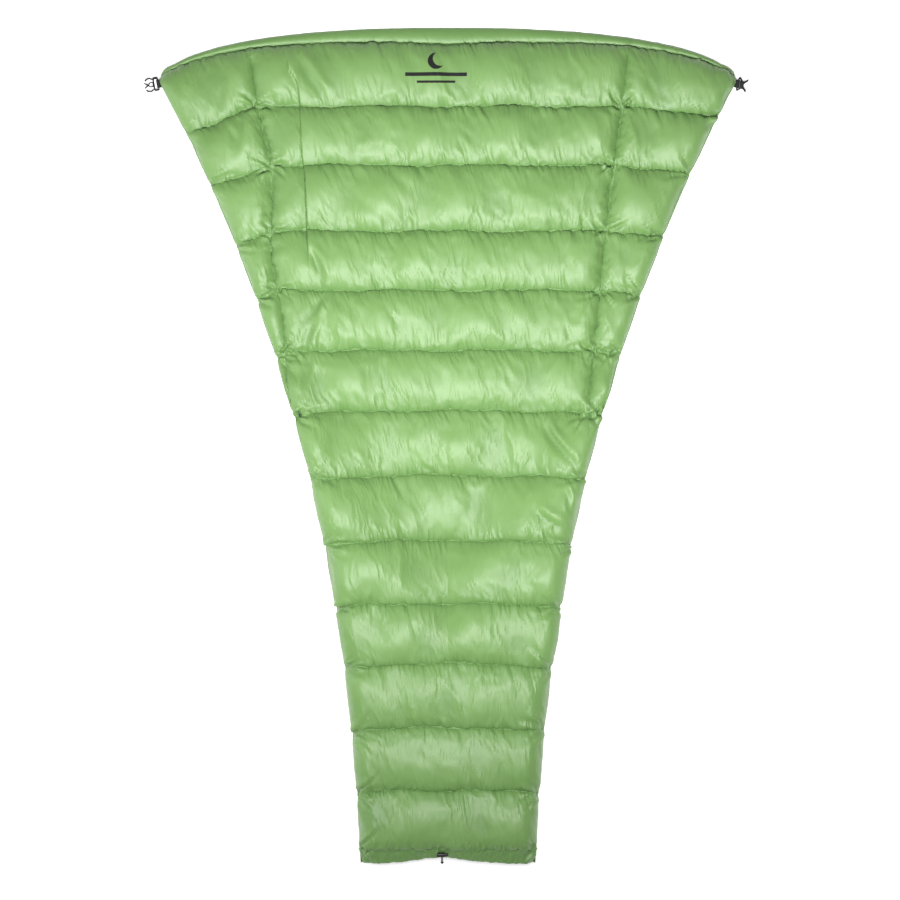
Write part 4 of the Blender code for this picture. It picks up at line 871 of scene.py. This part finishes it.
def fold_under(side):
    """The under layer of one side: its cloth towards the floor, its lining, where each point lies, and its
    nearness to the row seams, which darkens its colour as painted shade.
    """
    line, away = np.meshgrid(under_lines, under_across, indexing="ij")
    reach = HEAD_BAND + line * ROW_PITCH
    for _ in range(10):
        inner = half_width(FLAP_START) * (1.0 - (reach - FLAP_START) / (ZIP_TOP - FLAP_START))
        inner = np.minimum(np.maximum(inner, ZIP_SLOT), half_width(reach))
        offset = mix(half_width(reach), inner, away)
        reach = reach_of(line, side * offset)
    _, crown = row_crown(line)
    half = half_width(reach)
    inset, from_edge = half - offset, offset - inner
    middle, run = side_shape(reach)
    turn = np.clip(1.0 - inset / run, 0.0, 1.0) * np.pi / 2
    narrow = np.clip((half - inner) / 0.06, 0.0, 1.0)
    in_row = line < ROW_COUNT
    ripple = UNDER_RIPPLE * np.sin(offset / 0.0021 + 3.0 * np.sin(offset / 0.013)) * (1.0 - crown) ** 3
    lift = UNDER_SEAM_LIFT * (1.0 - crown) ** 2 + ripple + UNDER_RIPPLE * (1 - crown)
    low = UNDER_FLOOR + np.where(in_row, lift, 0.0)
    low = mix(low, FLAP_EDGE_LIFT * in_row + UNDER_FLOOR, np.exp(-(from_edge / 0.010) ** 2))
    shell_x = np.where(turn > 0, half - run + run * np.sin(turn), offset)
    shell_x = shell_x - UNDER_SCALLOP * (1.0 - crown) * np.clip(1.0 - inset / 0.10, 0.0, 1.0) * in_row
    shell_z = middle - (middle - low) * np.cos(turn)
    high = np.where(in_row, mix(UNDER_SEAM, UNDER_TOP, crown ** 0.6), UNDER_HEM)
    thin = FLAP_EDGE_TOP * in_row + UNDER_HEM * (~in_row)
    filled = np.clip(1.0 - (1.0 - np.clip(from_edge / 0.035, 0, 1)) ** 2.2, 0, 1) ** 0.5
    high = mix(thin, high, narrow * filled)
    inner_width = half - INSIDE_MARGIN
    lining_x = np.minimum(offset, inner_width - run + run * np.sin(turn))
    lining_z = middle - (middle - high) * np.cos(turn)
    y = head_y - reach
    return (np.stack([CENTRE_X + side * shell_x, y, np.maximum(shell_z, 0.0008)], axis=-1),
            np.stack([CENTRE_X + side * lining_x, y, lining_z], axis=-1), line,
            np.stack([side * offset, reach], axis=-1), np.exp(-4.0 * np.sqrt(crown)))


flap_edges = {}
for side in (-1, 1):
    name = SEAM_NAMES[side]
    outside, inside, line, plan_at, near_seam = fold_under(side)
    flap_edges[side] = (outside[:, -1] + inside[:, -1]) / 2
    quads = grid_quads(*line.shape, flip=side < 0)
    quad_lines = line.ravel()[quads].mean(axis=1)
    for label, nodes, keep in (
            (f"under_shell_{name}", (f"under_{name}_shell", f"under_{name}_down"), quad_lines < ROW_COUNT),
            (f"foot_hem_under_{name}_cloth", (f"foot_hem_under_{name}",), quad_lines > ROW_COUNT)):
        # Painted shade: near_seam darkens the under cloth's colour towards its seams and deepens its fine
        # wrinkles.
        piece = mesh_piece(label, outside.reshape(-1, 3), quads[keep], shell_material,
                           plan=plan_at.reshape(-1, 2) + (0.0, 3.0), values={"gathers_and_painted_shade": near_seam.ravel()})
        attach(piece, "quilt")
        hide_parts(*nodes)
    under_lining = mesh_piece(f"under_lining_{name}", inside.reshape(-1, 3), quads[:, ::-1], lining_material)
    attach(under_lining, "quilt")
    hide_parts(f"under_{name}_lining")


# ------------------------------------------------------------------ foot hem
# The foot edge is a gathered tunnel of shell cloth, through which the drawcord runs. Its top half is
# one piece, and each under side has its own.

foot_hem = mesh_piece("foot_hem_gathered", shell_points, shell_quads[quad_line > ROW_COUNT], shell_material,
                      **shell_extra)
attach(foot_hem, "quilt")
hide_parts("foot_hem_top")


# ------------------------------------------------------------------ rolled edge hems
# The side edges of the quilt and the free edges of the flaps are turned in on themselves and sewn, which
# leaves a firm rounded edge, a few millimetres thick.

HEM_RADIUS = 0.0024


def tube(path, radius, sides=10):
    """A round tube of quads along a path of points, closed at both ends."""
    path = np.asarray(path, float)
    along = np.gradient(path, axis=0)
    along /= np.maximum(np.linalg.norm(along, axis=1, keepdims=True), 1e-9)
    across = np.cross(along, (0.0, 0.0, 1.0))
    across /= np.maximum(np.linalg.norm(across, axis=1, keepdims=True), 1e-9)
    upward = np.cross(across, along)
    angle = np.linspace(0, 2 * np.pi, sides, endpoint=False)
    from_end = np.minimum(np.arange(len(path)), np.arange(len(path))[::-1])
    size = radius * np.sqrt(np.clip(from_end / 2.0, 0.02, 1.0))
    ring = (np.cos(angle)[None, :, None] * across[:, None] + np.sin(angle)[None, :, None] * upward[:, None])
    points = (path[:, None] + ring * size[:, None, None]).reshape(-1, 3)
    index = np.arange(len(path) * sides).reshape(len(path), sides)
    turned = np.roll(index, -1, axis=1)
    quads = np.stack([index[:-1], index[1:], turned[1:], turned[:-1]], axis=-1).reshape(-1, 4)
    plan_at = np.stack([np.repeat(np.linspace(0, len(path) * 0.004, len(path)), sides),
                        np.tile(np.arange(sides) * 0.001, len(path))], axis=-1)
    return points, quads, plan_at


last_side_row = int(np.searchsorted(lines, first_line + 0.35))
for side in (-1, 1):
    name = SEAM_NAMES[side]
    column = 0 if side < 0 else -1
    edge_path = shell[:last_side_row, column].copy()
    edge_path[:, 2] = np.maximum(edge_path[:, 2], HEM_RADIUS + 0.0004)
    points, quads, plan_at = tube(edge_path, HEM_RADIUS)
    # Painted shade: each edge hem and flap hem takes a fixed 0.7 share, which darkens its colour and deepens
    # its fine wrinkles.
    hems = share_out(f"edge_hem_{name}", points, quads, shell_material, plan=plan_at,
                     values={"gathers_and_painted_shade": np.full(len(points), 0.7)})
    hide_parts(f"{name}_wing_hem")
    points, quads, plan_at = tube(flap_edges[side], HEM_RADIUS)
    flap_hem = mesh_piece(f"flap_hem_{name}", points, quads, shell_material, plan=plan_at,
                          values={"gathers_and_painted_shade": np.full(len(points), 0.7)})
    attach(flap_hem, "quilt")


# ------------------------------------------------------------------ seam stitches
# Lock stitches of polyester thread in the shell's green, 3.5 mm long in every seam. The thread sinks
# into the cloth, so that only its top shows.

thread_material, tree, shader = new_material("spun_green_polyester_thread")
# Spun thread: two plies twist round each other, drawn 2.1 mm apart to show, with a dull shine
plies = pattern(tree, "Wave", {"bands_direction": "DIAGONAL"}, Scale=210.0)
set_sockets(tree, shader, Base_Color=tones(tree, plies, "#5E8E49", "#86B468"), Roughness=0.55)



def repeating_tree(name, material, shape, pitch, **sizes):
    """A node tree that sets a shape again and again along bare edges, facing along them."""
    tree = bpy.data.node_groups.new(name, "GeometryNodeTree")
    tree.is_modifier = True
    tree.interface.new_socket("Geometry", in_out="INPUT", socket_type="NodeSocketGeometry")
    for label, size in {"Pitch": pitch, **sizes}.items():
        socket = tree.interface.new_socket(label.replace("_", " "), in_out="INPUT",
                                           socket_type="NodeSocketFloat")
        socket.default_value = size
    tree.interface.new_socket("Geometry", in_out="OUTPUT", socket_type="NodeSocketGeometry")
    given = add_node(tree, "NodeGroupInput")
    path = add_node(tree, "GeometryNodeMeshToCurve", Mesh=given.outputs["Geometry"])
    evenly = add_node(tree, "GeometryNodeResampleCurve", {"mode": "LENGTH"}, Curve=path.outputs["Curve"],
                      Length=given.outputs["Pitch"])
    tangent = add_node(tree, "GeometryNodeInputTangent")
    turned = add_node(tree, "FunctionNodeAlignRotationToVector", {"axis": "Z"}, Vector=tangent.outputs[0])
    placed = add_node(tree, "GeometryNodeInstanceOnPoints", Points=evenly.outputs["Curve"],
                      Rotation=turned.outputs[0], **shape(tree, given.outputs))
    real = add_node(tree, "GeometryNodeRealizeInstances", Geometry=placed.outputs["Instances"])
    finished = add_node(tree, "GeometryNodeSetMaterial", Geometry=real.outputs["Geometry"], Material=material)
    add_node(tree, "NodeGroupOutput", Geometry=finished.outputs["Geometry"])
    return tree


def stitch_shape(tree, given):
    """One stitch: a bead of thread drawn out along the seam."""
    bead = add_node(tree, "GeometryNodeMeshUVSphere", Segments=6, Rings=4, Radius=0.5)
    size = add_node(tree, "ShaderNodeCombineXYZ", X=given["Thread thickness"], Y=given["Thread thickness"],
                    Z=given["Stitch length"])
    return {"Instance": bead.outputs["Mesh"], "Scale": size.outputs[0]}


stitch_tree = repeating_tree("lock_stitches", thread_material, stitch_shape, 0.0035, Stitch_length=0.0027,
                             Thread_thickness=0.0005)


def lines_mesh(name, paths):
    """A mesh of bare edges along several paths."""
    mesh = bpy.data.meshes.new(name)
    work = bmesh.new()
    for path in paths:
        made = [work.verts.new(point) for point in path]
        for first, second in zip(made, made[1:]):
            work.edges.new((first, second))
    work.to_mesh(mesh)
    work.free()
    return new_object(name, mesh)


def made_plain(piece, tree):
    """Run a geometry node tree on a piece and return its plain mesh."""
    modifier = piece.modifiers.new("nodes", "NODES")
    modifier.node_group = tree
    seen = piece.evaluated_get(bpy.context.evaluated_depsgraph_get())
    mesh = bpy.data.meshes.new_from_object(seen)
    bpy.data.objects.remove(piece)
    return mesh


raised = shell + normals_of(shell) * 0.0004
seam_paths = [raised[BAND_STEPS + row * ROW_STEPS, 6:-6] for row in range(ROW_COUNT + 1)]
for side in (-1, 1):
    seam_path = []
    for row in range(BAND_STEPS, len(lines) - FOOT_STEPS):
        if reach[row].min() > 1.0:
            break
        apart = side * offset[row] - side_seam(side, reach[row])
        order = np.argsort(apart)
        seam_path.append([np.interp(0.0, apart[order], raised[row][order, axis]) for axis in range(3)])
    seam_paths.append(np.array(seam_path))
stitch_mesh = made_plain(lines_mesh("seam_lines", seam_paths), stitch_tree)
for side, body in ((-1, "left"), (0, "middle"), (1, "right")):
    work = bmesh.new()
    work.from_mesh(stitch_mesh)
    work.faces.ensure_lookup_table()
    drop = []
    for face in work.faces:
        centre = np.array(face.calc_center_median())[None, :]
        where = 0
        for other in (-1, 1):
            above_run_out = centre[0, 1] > fold_line(other)[0].y - RUN_OUT
            if above_run_out and fold_distance(centre, other)[0] > -FOLD_ZONE:
                where = other
        if where != side:
            drop.append(face)
    bmesh.ops.delete(work, geom=drop, context="FACES")
    mesh = bpy.data.meshes.new(f"seam_stitches_{body}")
    work.to_mesh(mesh)
    work.free()
    mesh.materials.clear()
    mesh.materials.append(thread_material)
    stitches = new_object(f"seam_stitches_{body}", mesh)
    if side:
        turn_with_wing(stitches, side)
    else:
        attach(stitches, "quilt")


# ------------------------------------------------------------------ footbox zip
# A size 3 nylon coil zip joins the two under sides from the foot hem to the ninth seam: a coil sewn to
# each woven tape, a cast slider on both, and a bent steel pull that hangs from it.

coil_low, coil_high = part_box("zip_coil_left")
coil_right_low, coil_right_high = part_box("zip_coil_right")
coil_z = (coil_low.z + coil_high.z) / 2

coil_material, tree, shader = new_material("black_nylon_zip_coil")
# Extruded nylon monofilament: smooth, slightly uneven black, with a clear shine
uneven = pattern(tree, "Noise", Scale=900.0)
set_sockets(tree, shader, Base_Color=tones(tree, uneven, "#131314", "#2A2A2C"), Roughness=0.34)

tape_material, tree, shader = new_material("woven_black_zip_tape")
# Woven polyester tape: a herringbone of 0.8 mm cords, drawn at 1.7 mm to show
cords = pattern(tree, "Wave", {"bands_direction": "DIAGONAL"}, Scale=260.0, Distortion=0.4)
set_sockets(tree, shader, Base_Color=tones(tree, cords, "#101011", "#232325"), Roughness=0.8,
            Normal=bumped(tree, cords, 0.6, 0.0002))
dress("zip_tape_left", tape_material)
dress("zip_tape_right", tape_material)



def coil_shape(tree, given):
    """One turn of the coil: a ring of wire."""
    ring = add_node(tree, "GeometryNodeCurvePrimitiveCircle", Resolution=9, Radius=given["Turn radius"])
    wire = add_node(tree, "GeometryNodeCurvePrimitiveCircle", Resolution=5, Radius=given["Wire radius"])
    turn = add_node(tree, "GeometryNodeCurveToMesh", Curve=ring.outputs["Curve"], in_1=wire.outputs["Curve"])
    return {"Instance": turn.outputs["Mesh"]}


coil_tree = repeating_tree("zip_coil_turns", coil_material, coil_shape, 0.0016, Turn_radius=0.00085,
                           Wire_radius=0.00034)

for name, low, high, shift in (("left", coil_low, coil_high, 0.0),
                               ("right", coil_right_low, coil_right_high, 0.0008)):
    x = (low.x + high.x) / 2
    run = [(x, y, coil_z) for y in np.linspace(low.y + 0.001 + shift, high.y - 0.001, 40)]
    mesh = made_plain(lines_mesh(f"zip_line_{name}", [run]), coil_tree)
    mesh.name = f"zip_coil_turns_{name}"
    mesh.shade_smooth()
    coil = new_object(f"zip_coil_turns_{name}", mesh)
    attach(coil, "quilt")
    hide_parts(f"zip_coil_{name}")


def finished_copy(node, body, material, bevel, angle=35.0):
    """A copy of a node of the frame with rounded edges, which takes its place on its body."""
    mesh = frame["nodes"][node].data.copy()
    work = bmesh.new()
    work.from_mesh(mesh)
    bmesh.ops.remove_doubles(work, verts=work.verts, dist=1e-6)
    work.to_mesh(mesh)
    work.free()
    mesh.materials.clear()
    mesh.materials.append(material)
    raw = new_object(f"{node}_raw", mesh)
    if bevel:
        rounding = raw.modifiers.new("rounding", "BEVEL")
        rounding.width, rounding.segments, rounding.limit_method = bevel, 2, "ANGLE"
        rounding.angle_limit = math.radians(angle)
        rounding.use_clamp_overlap = True
    done = bpy.data.meshes.new_from_object(raw.evaluated_get(bpy.context.evaluated_depsgraph_get()))
    bpy.data.objects.remove(raw)
    done.name = f"{node}_finished"
    done.shade_smooth()
    done.set_sharp_from_angle(angle=math.radians(50.0))
    made = new_object(f"{node}_finished", done)
    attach(made, body)
    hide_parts(node)
    return made


slider_material, tree, shader = new_material("black_enamelled_zinc")
# Die-cast zinc under stove enamel: smooth black, worn to a grey sheen on raised edges
specks = pattern(tree, "Noise", Scale=700.0, Detail=2.0)
worn = add_node(tree, "ShaderNodeNewGeometry")
edge = add_node(tree, "ShaderNodeMapRange", Value=worn.outputs["Pointiness"], in_1=0.52, in_2=0.60)
paint = tones(tree, specks, "#141415", "#202022")
set_sockets(tree, shader, Base_Color=tones(tree, edge.outputs[0], paint, "#6A6A6C"), Roughness=0.32,
            Metallic=0.3)
finished_copy("zip_slider", "slider", slider_material, 0.0005)

steel_material, tree, shader = new_material("drawn_spring_steel")
# Drawn wire: fine lines along it over bright metal, slightly dulled by handling
drawn = pattern(tree, "Noise", Scale=400.0, Detail=3.0)
dulled = add_node(tree, "ShaderNodeMapRange", Value=drawn, in_3=0.25, in_4=0.42)
set_sockets(tree, shader, Base_Color=tones(tree, drawn, "#9A9C9E", "#C3C5C7"), Roughness=dulled.outputs[0],
            Metallic=1.0)
finished_copy("zip_pull", "pull", steel_material, 0.0003)


# ------------------------------------------------------------------ neck buckle
# A side-release buckle in moulded acetal: the male half with its two flexing arms at the left head
# corner, the female half at the right. Each is held by a short loop of black webbing in the corner.

plastic_material, tree, shader = new_material("moulded_black_acetal")
# Injection-moulded acetal: fine spark-eroded grain of 0.3 mm, drawn at 0.6 mm, and faint flow marks
grain = pattern(tree, "Noise", Scale=1600.0, Detail=2.0)
flow = pattern(tree, "Noise", Scale=120.0, Distortion=1.0)
sheen = add_node(tree, "ShaderNodeMapRange", Value=flow, in_3=0.36, in_4=0.50)
set_sockets(tree, shader, Base_Color=tones(tree, flow, "#0E0E0F", "#1D1D1F"), Roughness=sheen.outputs[0],
            Normal=bumped(tree, grain, 0.35, 0.0001))
for node, body in (("male_buckle_base", "left_buckle"), ("male_buckle_arm_head", "buckle_arm_head"),
                   ("male_buckle_arm_foot", "buckle_arm_foot"), ("female_buckle", "right_buckle")):
    finished_copy(node, body, plastic_material, 0.0005)

webbing_material, tree, shader = new_material("woven_black_webbing")
# Polypropylene webbing: ribs of 1.3 mm across a narrow tape, with a dull sheen
ribs = pattern(tree, "Wave", {"bands_direction": "X"}, Scale=240.0)
woven = calculate(tree, "MAXIMUM", ribs, pattern(tree, "Wave", {"bands_direction": "Y"}, Scale=240.0))
set_sockets(tree, shader, Base_Color=tones(tree, woven, "#0B0B0C", "#26262A"), Roughness=0.75,
            Normal=bumped(tree, woven, 0.8, 0.0003))
finished_copy("left_webbing_tab", "left_wing", webbing_material, 0.0003)
finished_copy("right_webbing_tab", "right_wing", webbing_material, 0.0003)


# ------------------------------------------------------------------ cord lock
# A barrel cord lock in the same moulded plastic: a spring inside pushes the plunger out and grips the
# two strands of the drawcord between them.

finished_copy("cord_lock_barrel", "cord_lock", plastic_material, 0.0006, angle=28.0)
finished_copy("cord_lock_plunger", "lock_plunger", plastic_material, 0.0005, angle=28.0)
spring = finished_copy("cord_lock_spring", "cord_lock", steel_material, 0.0)
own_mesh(spring)
